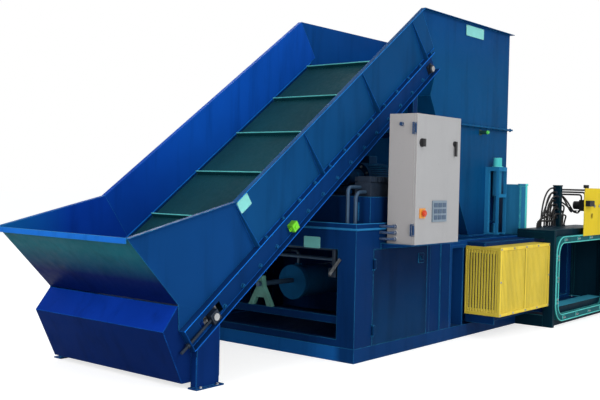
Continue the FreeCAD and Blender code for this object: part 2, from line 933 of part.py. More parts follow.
def main_ram():
    """A welded box with a thick face; the long roof keeps the throat shut behind the face."""
    y0 = chamber_near + slide_gap
    y1 = chamber_far - slide_gap
    z0 = chamber_floor + seat_gap
    z1 = roof - slide_gap
    x0 = ram_face - ram_length
    skin = rib_plate
    hub_x = ram_face - 3 * skin
    box = block(x0, ram_face, y0, y1, z0, z1)
    core = block(x0 - cut_over, hub_x, y0 + skin, y1 - skin, z0 + skin, z1 - skin)
    pieces = [box.cut(core)]
    for y in (mid_y - chamber_width / 4, mid_y + chamber_width / 4):
        pieces.append(block(x0 + ram_length / 2, hub_x, y, y + skin, z0 + skin, z1 - skin))
    pieces.append(rod(vec(hub_x, mid_y, axis_z), vec(-1, 0, 0), 2 * skin, main_hub))
    ram = join(pieces)
    for i in range(1, 4):
        z = z0 + i * (z1 - z0) / 4
        ram = ram.cut(block(ram_face - skin / 2, ram_face + cut_over, y0 - cut_over, y1 + cut_over,
                            z, z + skin / 2))
    return ram.cut(rod(vec(hub_x, mid_y, axis_z), vec(-1, 0, 0), 3 * skin, main_rod))


def barrel_profile(length, radius, bore, rod_radius, flange):
    """Half the section of a cylinder: gland end first, with its flange, bore and rear cap."""
    gland = rod_radius + shaft_gap
    return [(0, gland), (0, flange), (flange_plate, flange), (flange_plate, radius),
            (length - cap_length, radius), (length - cap_length, radius + band_thickness),
            (length, radius + band_thickness), (length, 0), (length - cap_length, 0),
            (length - cap_length, bore), (gland_length, bore), (gland_length, gland)]


def rod_with_piston(start, axis, length, radius, bore, piston):
    """A rod from start back along axis, with its piston at the rear end."""
    head = bore - shaft_gap
    profile = [(0, 0), (0, radius), (length - piston, radius), (length - piston, head),
               (length, head), (length, 0)]
    return turned(profile, start, axis)


def main_cylinder():
    axis = vec(-1, 0, 0)
    start = vec(bay_length, mid_y, axis_z)
    profile = barrel_profile(main_barrel_length, main_barrel, main_bore, main_rod, main_flange)
    pieces = [turned(profile, start, axis)]
    for x in port_places():
        pieces.append(block(x - port_radius, x + port_radius, mid_y - port_radius,
                            mid_y + port_radius, axis_z + main_bore + rod_hole_gap, port_top()))
    return join(pieces)


def port_places():
    """X of the front and the rear oil port of the main cylinder."""
    return bay_length - port_inset, bay_length - main_barrel_length + port_inset


def port_top():
    return axis_z + main_barrel + feed_stub


def main_cylinder_rod():
    start = vec(ram_face - 3 * rib_plate, mid_y, axis_z)
    rear = bay_length - main_barrel_length + cap_length + slide_gap
    return rod_with_piston(start, vec(-1, 0, 0), start.x - rear, main_rod, main_bore,
                           piston_length)


def ejector_platen():
    x0 = chamber_start + slide_gap
    x1 = chamber_end - slide_gap
    z0 = chamber_floor + seat_gap
    z1 = roof - slide_gap
    y0 = chamber_far
    y1 = y0 + ejector_length
    skin = rib_plate
    face = y0 + 2 * skin
    back = y1 - 3 * skin
    box = block(x0, x1, y0, y1, z0, z1)
    core = block(x0 + skin, x1 - skin, face, y1 + cut_over, z0 + skin, z1 - skin)
    web = block(x0, x1, face, back, axis_z - skin / 2, axis_z + skin / 2)
    post = block(chamber_mid - skin / 2, chamber_mid + skin / 2, face, back, z0, z1)
    hub = rod(vec(chamber_mid, face, axis_z), vec(0, 1, 0), 3 * skin, ejector_hub)
    platen = join([box.cut(core), web, post, hub])
    return platen.cut(rod(vec(chamber_mid, face, axis_z), vec(0, 1, 0), ejector_length, ejector_rod))


def ejector_cylinder():
    profile = barrel_profile(ejector_barrel_length, ejector_barrel, ejector_bore, ejector_rod,
                             ejector_flange)
    return turned(profile, vec(chamber_mid, thrust_face, axis_z), vec(0, 1, 0))


def ejector_cylinder_rod():
    start = vec(chamber_mid, chamber_far + 2 * rib_plate, axis_z)
    rear = far_end - cap_length - slide_gap
    return rod_with_piston(start, vec(0, 1, 0), rear - start.y, ejector_rod, ejector_bore,
                           piston_length)


def door_tracks():
    """Upper and lower channels that the bale door slides in, joined by plates at the ends."""
    back = 0
    front = -(door_back + door_depth + slide_gap)
    lip = front - track_lip
    z0 = door_level
    z1 = door_level + door_height
    low = z0 - track_plate
    ear_top = door_cylinder_z + 2 * door_barrel
    y_front = -(door_cylinder_y + door_barrel + track_plate)
    pieces = [block(track_start, body_length, front, back, low, z0 - seat_gap)]
    pieces.append(block(track_start, body_length, lip, front, low, z0 + lip_cover))
    pieces.append(block(track_start, body_length, front, back, z1 + seat_gap, z1 + track_plate))
    pieces.append(block(track_start, body_length, lip, front, z1 - lip_cover, z1 + track_plate))
    end_x = track_start + rib_plate
    pieces.append(block(track_start, end_x, front, back, low, z1 + track_plate))
    pieces.append(block(track_start, end_x, y_front, front, low, ear_top))
    strap_x = strap_place()
    strap = block(strap_x, strap_x + rib_plate, y_front, lip, low, ear_top)
    hole = rod(vec(strap_x - cut_over, -door_cylinder_y, door_cylinder_z), vec(1, 0, 0),
               rib_plate + 2 * cut_over, door_barrel + seat_gap)
    pieces.append(strap.cut(hole))
    pieces.append(block(strap_x, strap_x + rib_plate, lip - cut_over, front, low, z0))
    return join(pieces)


def strap_place():
    """X of the strap that holds the front end of the door's cylinder."""
    return track_start + door_barrel_length() - rib_plate


def door_barrel_length():
    return door_travel + piston_length / 2 + gland_length / 2 + cap_length / 2


def bale_door():
    x0 = door_open_start
    x1 = x0 + door_length
    z0 = door_level
    z1 = door_level + door_height
    inner = -(door_back + door_skin)
    outer = -(door_back + door_depth)
    pieces = [block(x0, x1, inner, -door_back, z0, z1)]
    for z in (z0, axis_z - 2 * rib_plate, axis_z + 2 * rib_plate, z1 - rib_plate):
        pieces.append(block(x0, x1, outer, inner, z, z + rib_plate))
    for i in range(door_ribs):
        x = x0 + i * (door_length - rib_plate) / (door_ribs - 1)
        pieces.append(block(x, x + rib_plate, outer, inner, z0, z1))
    lug_x = door_lug_x()
    pieces.append(block(lug_x, lug_x + 2 * rib_plate, -(door_cylinder_y + door_barrel), outer,
                        door_cylinder_z - door_barrel, door_cylinder_z + door_barrel))
    eye = rod(vec(lug_x - cut_over, -door_cylinder_y, door_cylinder_z), vec(1, 0, 0),
              2 * (rib_plate + cut_over), door_rod)
    return join(pieces).cut(eye)


def door_lug_x():
    return track_start + rib_plate + door_barrel_length() + rib_plate


def door_cylinder():
    length = door_barrel_length()
    rear = vec(track_start + rib_plate, -door_cylinder_y, door_cylinder_z)
    cap = cap_length / 2
    mouth = length - gland_length / 2
    gland = door_rod + shaft_gap
    profile = [(0, 0), (0, door_barrel), (length, door_barrel), (length, gland), (mouth, gland),
               (mouth, door_bore), (cap, door_bore), (cap, 0)]
    return turned(profile, rear, vec(1, 0, 0))


def door_cylinder_rod():
    front = door_lug_x() + 2 * rib_plate
    rear = track_start + rib_plate + cap_length / 2 + slide_gap / 2
    start = vec(front, -door_cylinder_y, door_cylinder_z)
    return rod_with_piston(start, vec(-1, 0, 0), front - rear, door_rod, door_bore,
                           piston_length / 2 - slide_gap)


def guard_bounds():
    return guard_start, guard_start + guard_length, -guard_depth, 0.0, guard_bottom, guard_top


def guard_frame():
    """Edge bars of the bolted guard: open at the exit end, where the door slides out."""
    x0, x1, y0, y1, z0, z1 = guard_bounds()
    b = guard_bar
    pieces = []
    for z in (z0, z1 - b):
        pieces.append(block(x0, x1, y0, y0 + b, z, z + b))
        pieces.append(block(x0, x0 + b / 2, y0, y1, z, z + b))
    for x in (x0, (x0 + x1 - b) / 2, x1 - b):
        pieces.append(block(x, x + b, y0, y0 + b, z0, z1))
    pieces.append(block(x0, x0 + b / 2, y1 - b / 2, y1, z0, z1))
    cover_y = -(door_back + door_depth + track_lip + 2 * slide_gap)
    pieces.append(block(x0, x1, y0, cover_y, z1 - guard_slat_plate, z1))
    return join(pieces)


def guard_mesh():
    """Upright slats that fill each bay of the guard, with rails behind them."""
    x0, x1, y0, y1, z0, z1 = guard_bounds()
    b = guard_bar
    half = guard_slat / 2
    face = y0 + b / 4
    behind = face + guard_slat_plate
    middle = (x0 + x1 - b) / 2
    grilles = []
    for a, c in ((x0 + b, middle), (middle + b, x1 - b)):
        pieces = []
        count = int((c - a) / guard_slat_pitch)
        pitch = (c - a) / count
        for i in range(count):
            x = a + (i + 0.5) * pitch
            pieces.append(block(x - half, x + half, face, behind, z0 + b, z1 - b))
        for z in (z0 + b, z1 - 2 * b):
            pieces.append(block(a, c, behind, behind + guard_rail, z, z + b))
        grilles.append(join(pieces))
    side = []
    count = int((y1 - b / 2 - y0 - b) / guard_slat_pitch)
    pitch = (y1 - b / 2 - y0 - b) / count
    face = x0 + guard_rail
    behind = face + guard_rail
    for i in range(count):
        y = y0 + b + (i + 0.5) * pitch
        side.append(block(face, behind, y - half, y + half, z0 + b, z1 - b))
    for z in (z0 + b, z1 - 2 * b):
        side.append(block(behind, behind + guard_rail, y0 + b, y1 - b / 2, z, z + b))
    return Part.makeCompound(grilles + [join(side)])


def wire_track():
    """The round-cornered channel that leads the wire round the bale, open to the inside."""
    x0, x1, z0, z1 = ring_x0, ring_x1, ring_z0, ring_z1
    y0 = -track_front
    y1 = y0 + track_depth
    s = track_section
    g = track_groove
    outer = rounded_plate(x0, x1, z0, z1, track_corner, y0, y1)
    hole = rounded_plate(x0 + s, x1 - s, z0 + s, z1 - s, track_corner - s, y0 - cut_over,
                         y1 + cut_over)
    groove = rounded_plate(x0 + s / 2, x1 - s / 2, z0 + s / 2, z1 - s / 2, track_corner - s / 2,
                           y0 + g, y1 - g)
    clips = []
    inset = (s - clip_width) / 2
    for i in range(3):
        z = z0 + track_corner + i * (z1 - z0 - 2 * track_corner - clip_length) / 2
        for x in (x0 + inset, x1 - inset - clip_width):
            clips.append(block(x, x + clip_width, y0 - clip_plate, y0, z, z + clip_length))
    for i in range(4):
        x = x0 + track_corner + i * (x1 - x0 - 2 * track_corner - clip_length) / 3
        for z in (z0 + inset, z1 - inset - clip_width):
            clips.append(block(x, x + clip_length, y0 - clip_plate, y0, z, z + clip_width))
    return join([outer.cut(groove).cut(hole)] + clips)


def tier_frame():
    """The portal round the exit that carries the wire track, the tie head and its mast."""
    x0, x1, z0, z1 = ring_x0, ring_x1, ring_z0, ring_z1
    y0 = -portal_front
    y1 = y0 + portal_depth
    top = portal_z
    bar = portal_bar
    plates = []
    for x in (portal_x0, x1):
        plates.append(block(x, x + bar, y0, y1, 0, top))
    tie_z = door_level + door_height + track_plate + seat_gap
    shelf_back = -(door_back + door_depth + track_lip + 2 * slide_gap)
    plates.append(block(portal_x0, x0, y1, 0, tie_z, top - tier_beam))
    plates.append(block(portal_x0, x0, y1, 0, 0, skid_height))
    plates.append(block(strap_place() + rib_plate + slide_gap, x1, y1, shelf_back,
                        exit_floor - tier_beam, exit_floor))
    plates.append(block(x1, portal_x1, y1, 0, 0, top - tier_beam))
    plates.append(block(body_length, x1, -rib_plate, 0, exit_floor, top - tier_beam))
    plates.append(block(x0, x1, ring_back, y1, z1 - portal_lap, top))
    plates.append(block(x0, x1, ring_back, y1, 0, exit_floor))
    for x in (x0, x1 - bar / 2):
        plates.append(block(x, x + bar / 2, ring_back, y1, exit_floor, z1 - portal_lap))
    plates.append(block(portal_x0, portal_x1, y1, 0, top - tier_beam, top))
    mx = chamber_mid + mast_offset
    plates.append(block(mx, mx + mast_width, -mast_depth, 0, top, mast_top - mast_cap))
    plates.append(block(mx - mast_cap, mx + mast_width + mast_cap, -mast_depth, 0,
                        mast_top - mast_cap, mast_top))
    return Part.makeCompound(plates)


def tie_bounds():
    return tie_x, tie_x + tie_width, portal_z, portal_z + tie_height


def tie_plates():
    """The two yellow side plates of the tie head, with shaft bores, a window and spacers."""
    x0, x1, z0, z1 = tie_bounds()
    cut = tie_chamfer
    inner = tie_x + tie_inset
    low = z0 - tie_drop
    front = [(x0, low), (x1, low), (x1, z1 - cut), (x1 - cut, z1), (x0 + cut / 2, z1),
             (x0, z1 - cut / 2)]
    back = [(inner, z0), (x1, z0), (x1, z1 - cut), (x1 - cut, z1), (inner, z1)]
    plates = []
    for shape, y in ((front, tie_front), (back, tie_back())):
        plate = outline_y(shape, y, y + tie_plate)
        for x, z in tie_wheel_centres():
            plate = plate.cut(rod(vec(x, y - cut_over, z), vec(0, 1, 0), tie_plate + 2 * cut_over,
                                  tie_shaft + shaft_gap))
        plates.append(plate)
    window = rod(vec(x0 + tie_hole_x, tie_front - cut_over, z0 + tie_hole_z), vec(0, 1, 0),
                 tie_plate + 2 * cut_over, tie_hole)
    plates[0] = plates[0].cut(window)
    inset = tie_spacer_inset
    for x, z in ((inner + inset, z0 + inset), (x1 - inset / 2, z0 + inset / 2),
                 (inner + inset, z1 - inset)):
        plates.append(rod(vec(x, tie_front + tie_plate, z), vec(0, 1, 0), tie_gap, tie_shaft))
    return join(plates)


def tie_back():
    return tie_front + tie_plate + tie_gap


def tie_wheel_centres():
    x = tie_x + tie_wheel_x
    z = portal_z + tie_wheel_z
    reach = tie_wheel + seat_gap / 2
    return (x - reach, z), (x + reach, z)


def tie_wheel_node(index):
    """A wire wheel on its shaft, with a key on the end; the shaft runs in both side plates."""
    x, z = tie_wheel_centres()[index]
    y0 = tie_front - tie_plate
    rim0 = 2 * tie_plate + (tie_gap - tie_wheel_width) / 2
    rim1 = rim0 + tie_wheel_width
    length = tie_gap + 4 * tie_plate
    profile = [(0, 0), (0, tie_shaft), (rim0, tie_shaft), (rim0, tie_wheel), (rim1, tie_wheel),
               (rim1, tie_shaft), (length, tie_shaft), (length, 0)]
    wheel = turned(profile, vec(x, y0, z), vec(0, 1, 0))
    half = key_width / 2
    key = block(x - half, x + half, y0 - key_depth, y0, z - tie_shaft + half, z + tie_shaft - half)
    return join([wheel, key])


def tie_drive():
    """The hydraulic motor behind the head, its adjusting knob, and the valve on its face."""
    cx, cz = tie_wheel_centres()[1]
    x0 = tie_x + tie_valve_x
    z0 = portal_z + tie_valve_z
    y_back = tie_back() + tie_plate
    shaft_end = tie_front + 3 * tie_plate + tie_gap
    m = tie_motor
    body = block(cx - m, cx + m, y_back, y_back + tie_motor_depth, cz - m, cz + m)
    body = body.cut(rod(vec(cx, y_back - cut_over, cz), vec(0, 1, 0),
                        shaft_end - y_back + 2 * cut_over, tie_shaft + shaft_gap))
    nose = prism(vec(cx, y_back + tie_motor_depth, cz), vec(0, 1, 0), tie_nose_depth, tie_nose, 12)
    stem_y = y_back + m
    stem = prism(vec(cx, stem_y, cz + m), vec(0, 0, 1), tie_knob_rise, tie_knob_stem, 8)
    cap = prism(vec(cx, stem_y, cz + m + tie_knob_rise), vec(0, 0, 1), tie_knob_cap, tie_knob, 12)
    valve = block(x0, x0 + tie_valve_width, tie_front - tie_valve_depth, tie_front, z0,
                  z0 + tie_valve_height)
    return Part.makeCompound([join([body, nose, stem, cap]), valve])


def tier_pipes():
    """Hoses that rise from the tier's deck to the mast, and on from the mast to the tie head."""
    mx = chamber_mid + mast_offset
    deck = portal_z
    hoses = []
    for i in range(hose_count):
        y = -mast_depth + (i + 0.5) * mast_depth / hose_count
        x = box_x + box_width + i * hose_start_pitch
        z = mast_top - mast_cap - hose_rise * (hose_count - i)
        points = [(x, y, deck), (x, y, deck + hose_rise), (mx - 2 * hose_rise, y, z - hose_rise),
                  (mx - hose_rise, y, z), (mx, y, z)]
        hoses.append(bent_pipe(points, hose_radius, hose_bend, 8))
    x1 = tie_wheel_centres()[1][0]
    for i in range(head_hoses):
        y = -mast_depth + (i + 0.5) * mast_depth / head_hoses
        z = mast_top - mast_cap - head_hose_drop - i * head_hose_pitch
        x = x1 - tie_motor + hose_pitch
        y1 = tie_back() + tie_plate + hose_pitch + i * 2 * hose_pitch
        points = [(mx + mast_width, y, z), (x, y, z), (x, y1, z),
                  (x, y1, tie_wheel_centres()[1][1] + tie_motor)]
        hoses.append(bent_pipe(points, hose_radius, hose_bend / 2, 8))
    return Part.makeCompound(hoses)


def valve_box():
    x1 = box_x + box_width
    y1 = box_near + box_depth
    z1 = rib_top + box_height
    r = box_rim
    body = block(box_x, x1, box_near, y1, rib_top, z1)
    rim = block(box_x - r, x1 + r, box_near - r, box_near + box_rim_height, z1 + r - box_rim_height,
                z1 + r)
    lid = block(box_x + box_lid_inset, x1 - box_lid_inset, box_near - box_lid, box_near,
                rib_top + box_rim_height, z1 - box_rim_height)
    return join([body, rim, lid])


def gate_tower():
    """Guide uprights with a head plate; the inspection gate slides between them."""
    x0 = tower_x
    x1 = tower_x + tower_width
    b = tower_bar
    y1 = conveyor_near - hopper_plate - seat_gap
    y_gate = y1 - gate_plate
    pieces = []
    for x, side in ((x0, 1), (x1 - b, -1)):
        upright = block(x, x + b, y_gate - b / 2, y1, rib_top, tower_top)
        slot_x = x + b / 2 if side > 0 else x - cut_over
        slot = block(slot_x, slot_x + b / 2 + cut_over, y_gate - seat_gap, y1 + cut_over, rib_top,
                     tower_top - b)
        pieces.append(upright.cut(slot))
        pieces.append(block(x, x + b, tower_near, y_gate - b / 2, rib_top, rib_top + b / 2))
        post_x = x if side > 0 else x + b * 3 / 4
        pieces.append(block(post_x, post_x + b / 4, tower_near, tower_near + b, rib_top, tower_top))
        pieces.append(block(post_x, post_x + b / 4, tower_near, y_gate, tower_top - b, tower_top))
    for z in (gate_cylinder_bottom - b / 2, tower_top - b):
        pieces.append(block(x0, x1, tower_near, tower_near + b / 4, z, z + b))
    pieces.append(block(x0, x1, tower_near, y1, tower_top, tower_top + tower_head))
    cx, cy = gate_axis()
    hole = rod(vec(cx, cy, tower_top - cut_over), vec(0, 0, 1), tower_head + 2 * cut_over,
               gate_barrel)
    return join(pieces).cut(hole)


def gate_axis():
    y_gate = conveyor_near - hopper_plate - seat_gap - gate_plate
    return tower_x + tower_width / 2, (tower_near + y_gate) / 2


def gate_cylinder():
    cx, cy = gate_axis()
    low = gate_cylinder_bottom
    seat = tower_top + tower_head - low
    length = (gland_length / 2 + piston_length / 2 + slide_gap + gate_travel + gate_spare
              + cap_length)
    gland = gate_rod + shaft_gap
    profile = [(0, gland), (0, gate_barrel), (seat, gate_barrel), (seat, gate_collar),
               (seat + tower_head, gate_collar), (seat + tower_head, gate_barrel),
               (length, gate_barrel), (length, 0), (length - cap_length, 0),
               (length - cap_length, gate_bore), (gland_length / 2, gate_bore),
               (gland_length / 2, gland)]
    return turned(profile, vec(cx, cy, low), vec(0, 0, 1))


def inspection_gate():
    """The sliding gate plate with the bracket and piston rod that lift it."""
    y1 = conveyor_near - hopper_plate - 2 * seat_gap
    y0 = conveyor_near - hopper_plate - seat_gap - gate_plate
    x0 = tower_x + tower_bar / 2 + seat_gap
    x1 = tower_x + tower_width - tower_bar / 2 - seat_gap
    z1 = gate_bottom + gate_height
    plate = block(x0, x1, y0, y1, gate_bottom, z1)
    cx, cy = gate_axis()
    half = gate_rod + hinge_pin
    arm_z = gate_bottom + gate_arm
    arm = block(cx - half, cx + half, cy - half, y0, arm_z, arm_z + rib_plate)
    head = piston_length / 2
    length = gate_cylinder_bottom + gland_length / 2 + head + slide_gap - arm_z
    stem = rod_with_piston(vec(cx, cy, arm_z), vec(0, 0, 1), length, gate_rod, gate_bore, head)
    return join([plate, arm, stem])


def side_channel():
    """The near side channel of the conveyor, with the take-up slot and the head shaft hole."""
    y1 = conveyor_near
    y0 = y1 - frame_wall
    s0 = -frame_tail
    s1 = conveyor_length + frame_head
    half = takeup_block / 2
    web = block(s0, s1, y0, y1, -frame_below, frame_above)
    top = block(s0, s1, y0 - frame_flange, y0, frame_above - frame_wall, frame_above)
    foot = block(s0, s1, y0 - frame_flange, y0, -frame_below, -frame_below + frame_wall)
    slot = block(-3 * half, 3 * half, y0 - cut_over, y1 + cut_over, -half, half)
    shaft = rod(vec(conveyor_length, y0 - cut_over, 0), vec(0, 1, 0), frame_wall + 2 * cut_over,
                bearing_hub - slide_gap)
    stop = block(s0, s0 + frame_wall, y0 - frame_flange, y0, -frame_below + frame_wall,
                 frame_above - frame_wall)
    screw = rod(vec(s0 - cut_over, y0 - frame_flange / 2, 0), vec(1, 0, 0),
                frame_wall + 2 * cut_over, takeup_screw + seat_gap)
    return join([web, top, foot]).cut(slot).cut(shaft), stop.cut(screw)


def conveyor_frame():
    pieces = []
    for piece in side_channel():
        pieces += both_sides(piece)
    half = cross_size / 2
    for i in range(cross_count):
        s = skirt_start + i * (conveyor_length - skirt_start - cross_end) / (cross_count - 1)
        pieces.append(block(s, s + cross_size, conveyor_near, far_y, -half, half))
    return on_conveyor(join(pieces + slider_bed()))


def slider_bed():
    """The flat bed under the carrying run, on three stringers."""
    top = drum_radius
    s0 = bed_start
    s1 = conveyor_length - bed_start
    y0 = conveyor_near + belt_margin
    y1 = far_y - belt_margin
    half = bed_rail / 2
    pieces = [block(s0, s1, y0, y1, top - frame_wall, top)]
    for y in (y0 + bed_rail_inset, mid_y, y1 - bed_rail_inset):
        pieces.append(block(s0, s1, y - half, y + half, cross_size / 2, top - frame_wall))
    return pieces


def belt_wire(radius):
    """The belt's path at one radius: two straight runs and a half turn on each drum."""
    end = conveyor_length
    a, b = vec(0, 0, radius), vec(end, 0, radius)
    c, d = vec(end, 0, -radius), vec(0, 0, -radius)
    edges = [
        Part.LineSegment(a, b).toShape(),
        Part.Arc(b, vec(end + radius, 0, 0), c).toShape(),
        Part.LineSegment(c, d).toShape(),
        Part.Arc(d, vec(-radius, 0, 0), a).toShape(),
    ]
    return Part.Wire(edges)


def conveyor_belt():
    y0 = conveyor_near + belt_margin
    width = conveyor_width - 2 * belt_margin
    outer = Part.Face(belt_wire(belt_outer)).extrude(vec(0, width, 0))
    inner = Part.Face(belt_wire(belt_outer - belt_thickness)).extrude(vec(0, width, 0))
    belt = outer.cut(inner)
    belt.translate(vec(0, y0, 0))
    return on_conveyor(belt)


def belt_cleats():
    """Bolted angle cleats across the belt, evenly spaced along the loop."""
    y0 = conveyor_near + belt_margin + cleat_margin
    y1 = far_y - belt_margin - cleat_margin
    run = conveyor_length + math.pi * (drum_radius + belt_thickness / 2)
    pitch = 2 * run / cleat_count
    half = cleat_base / 2
    cleats = []
    for i in range(cleat_count):
        along = cleat_start + i * pitch
        base = block(-half, half, y0, y1, 0, cleat_plate)
        web = block(-half, cleat_plate - half, y0, y1, 0, cleat_height)
        cleat = join([base, web])
        if along < run:
            cleat.translate(vec(along, 0, belt_outer))
        else:
            cleat.rotate(vec(0, 0, 0), vec(0, 1, 0), 180)
            cleat.translate(vec(conveyor_length - (along - run), 0, -belt_outer))
        cleats.append(on_conveyor(cleat))
    return Part.makeCompound(cleats)


def skirt(side_y):
    """One side skirt on top of the frame, with a folded lip and tapered gussets outside."""
    y1 = conveyor_near
    y0 = y1 - skirt_plate
    low = frame_above
    top = low + skirt_height
    under = top - skirt_plate
    pieces = [block(skirt_start, skirt_end, y0, y1, low, top)]
    pieces.append(block(skirt_start, skirt_end, y0 - skirt_lip, y0, under, top))
    for i in range(gusset_count):
        s = skirt_start + i * gusset_pitch
        shape = [(y0, low), (y0, under), (y0 - gusset_top, under), (y0 - gusset_depth, low)]
        pieces.append(outline_x(shape, s, s + frame_wall))
    whole = join(pieces)
    if side_y > mid_y:
        whole = mirror_y(whole, mid_y)
    return on_conveyor(whole)


def receiving_hopper():
    """The flared low end: two side plates and a front plate that folds down to the belt."""
    kink = conveyor_point(skirt_start, frame_above + skirt_height)
    kink_low = conveyor_point(skirt_start, frame_above)
    tail_low = conveyor_point(-frame_tail, frame_above)
    shape = [kink, (lip_x, lip_z), (fold_x, fold_z), tail_low, kink_low]
    y1 = conveyor_near
    side = outline_y(shape, y1 - skirt_plate, y1)
    rim = outline_y([kink, (lip_x, lip_z), offset(lip_x, lip_z, kink, -skirt_plate),
                     offset(kink[0], kink[1], kink, -skirt_plate)], y1 - skirt_lip, y1)
    pieces = both_sides(side) + both_sides(rim)
    toe = conveyor_point(-toe_back, frame_above + toe_rise)
    t = front_plate
    slant = t * math.hypot(lip_reach - fold_reach, lip_rise - fold_rise) / (lip_rise - fold_rise)
    front = [(lip_x, lip_z), (fold_x, fold_z), toe, (toe[0], toe[1] + t),
             (fold_x + t, fold_z + t), (lip_x + slant, lip_z)]
    pieces.append(outline_y(front, y1, far_y))
    roll = block(lip_x, lip_x + t, y1 - skirt_plate, far_y + skirt_plate, lip_z - skirt_lip, lip_z)
    pieces.append(roll)
    return join(pieces)


def offset(x, z, kink, drop):
    """A point moved square to the flare's sloping top edge."""
    angle = math.atan2(kink[1] - lip_z, kink[0] - lip_x)
    return x - drop * math.sin(angle), z + drop * math.cos(angle)


def tail_box():
    """The folded boot under the tail drum, between the side frames."""
    t = skirt_plate
    y0 = conveyor_near
    top_back = (fold_x, fold_z - box_seam)
    slant = t * math.hypot(box_reach - fold_reach, fold_rise + box_drop) / (box_reach - fold_reach)
    front = [(box_front_x, box_front_z), (box_toe_x, box_toe_z), (box_back_x, box_toe_z),
             (box_back_x, box_toe_z + t), (box_toe_x + t, box_toe_z + t),
             (box_front_x + slant, box_front_z), (top_back[0], top_back[1] - t), top_back]
    side = [(box_front_x, box_front_z), (box_toe_x, box_toe_z), (box_back_x, box_toe_z),
            (box_back_x, box_front_z + box_side_rise), top_back]
    plate = outline_y(side, y0, y0 + t)
    shaft = rod(vec(tail_x, y0 - cut_over, tail_z), vec(0, 1, 0), t + 2 * cut_over, takeup_block)
    return join([outline_y(front, y0, far_y)] + both_sides(plate.cut(shaft)))


def conveyor_legs():
    """Channel legs at the tail, cut to the slope of the side frame, on drilled feet."""
    y_out = conveyor_near - frame_wall - frame_flange
    x0 = leg_x
    x1 = leg_x + leg_width
    top0 = frame_line(x0, -frame_below)
    top1 = frame_line(x1, -frame_below)
    shape = [(x0, foot_plate), (x1, foot_plate), (x1, top1), (x0, top0)]
    pieces = [outline_y(shape, y_out, y_out + frame_wall)]
    for x in (x0, x1 - frame_wall):
        a = frame_line(x, -frame_below)
        b = frame_line(x + frame_wall, -frame_below)
        edge = [(x, foot_plate), (x + frame_wall, foot_plate), (x + frame_wall, b), (x, a)]
        pieces.append(outline_y(edge, y_out, conveyor_near))
    margin = foot_margin
    pieces.append(block(x0 - margin, x1 + margin, y_out - margin, conveyor_near, 0, foot_plate))
    leg = join(pieces)
    for x in foot_holes():
        leg = leg.cut(rod(vec(x, y_out - margin / 2, -cut_over), vec(0, 0, 1),
                          foot_plate + 2 * cut_over, foot_hole / 2))
    return Part.makeCompound(both_sides(leg))


def foot_holes():
    return leg_x + foot_hole_inset, leg_x + leg_width - foot_hole_inset


def conveyor_support():
    """Two posts from the bay's deck up to the side frames, with a cross brace."""
    y0 = conveyor_near - frame_wall - frame_flange
    x1 = support_x + support_width
    base = deck_level + deck_plate
    high = frame_line(support_x, -frame_below)
    shape = [(support_x, base), (x1, base), (x1, frame_line(x1, -frame_below)), (support_x, high)]
    post = outline_y(shape, y0, conveyor_near)
    foot = block(support_x - foot_margin, x1 + foot_margin, y0 - foot_margin,
                 conveyor_near + foot_margin, base, base + foot_plate)
    z = high - support_brace_drop
    brace = block(support_x, support_x + support_brace, conveyor_near, far_y, z, z + support_brace)
    return join(both_sides(post) + both_sides(foot) + [brace])


def shaft_bearings():
    """Head flange bearings and tail take-up blocks with their screws and nuts, as a group."""
    y_web = conveyor_near - frame_wall
    half = takeup_block / 2
    bore = conveyor_shaft + shaft_gap
    s = conveyor_length
    plate = block(s - half, s + half, y_web - bearing_plate, y_web, -half, half)
    hub = prism(vec(s, y_web - bearing_plate, 0), vec(0, -1, 0), bearing_hub_length, bearing_hub, 12)
    head = join([plate, hub])
    reach = bearing_plate + bearing_hub_length + cut_over
    head = head.cut(rod(vec(s, y_web - reach, 0), vec(0, 1, 0), reach + cut_over, bore))
    slide = block(-half, half, y_web - frame_flange + takeup_screw / 2, conveyor_near - cut_over,
                  -half, half)
    slide = slide.cut(rod(vec(0, y_web - frame_flange, 0), vec(0, 1, 0), 2 * frame_flange, bore))
    screw_y = y_web - frame_flange / 2
    screw_end = -frame_tail - takeup_overrun
    screw = prism(vec(screw_end, screw_y, 0), vec(1, 0, 0), -half - screw_end, takeup_screw, 12)
    nut = prism(vec(-frame_tail, screw_y, 0), vec(-1, 0, 0), takeup_nut, takeup_nut, 6)
    placed = []
    for piece in (head, join([slide, screw, nut])):
        placed += [on_conveyor(part) for part in both_sides(piece)]
    return Part.makeCompound(placed)


def drum(s, y0, y1, keyed):
    """A belt drum turned with its shaft: discs stand in from the rim, with a hub on each."""
    face0 = conveyor_near + drum_margin
    face1 = far_y - drum_margin
    inner = drum_radius - drum_shell
    hub0 = face0 + drum_disc_inset - drum_disc
    disc0 = face0 + drum_disc_inset
    disc1 = face1 - drum_disc_inset
    hub1 = face1 - drum_disc_inset + drum_disc
    shaft = conveyor_shaft
    profile = [(0, 0), (0, shaft), (hub0 - y0, shaft), (hub0 - y0, drum_hub),
               (disc0 - y0, drum_hub), (disc0 - y0, inner), (face0 - y0, inner),
               (face0 - y0, drum_radius), (face1 - y0, drum_radius), (face1 - y0, inner),
               (disc1 - y0, inner), (disc1 - y0, drum_hub), (hub1 - y0, drum_hub),
               (hub1 - y0, shaft), (y1 - y0, shaft), (y1 - y0, 0)]
    whole = turned(profile, vec(s, y0, 0), vec(0, 1, 0))
    if keyed:
        half = key_width / 2
        whole = whole.cut(block(s - half, s + half, y0 - cut_over, y0 + key_length,
                                shaft - key_depth, shaft + cut_over))
    return on_conveyor(whole)


def head_drum():
    near = conveyor_near - frame_wall - bearing_plate - bearing_hub_length - takeup_screw
    far = gearbox_near() + gearbox_depth + wall_plate
    return drum(conveyor_length, near, far, True)


def tail_drum():
    near = conveyor_near - frame_wall - frame_flange - slide_gap
    return drum(0, near, 2 * mid_y - near, False)


def gearbox_near():
    return far_y + frame_wall + frame_flange + slide_gap


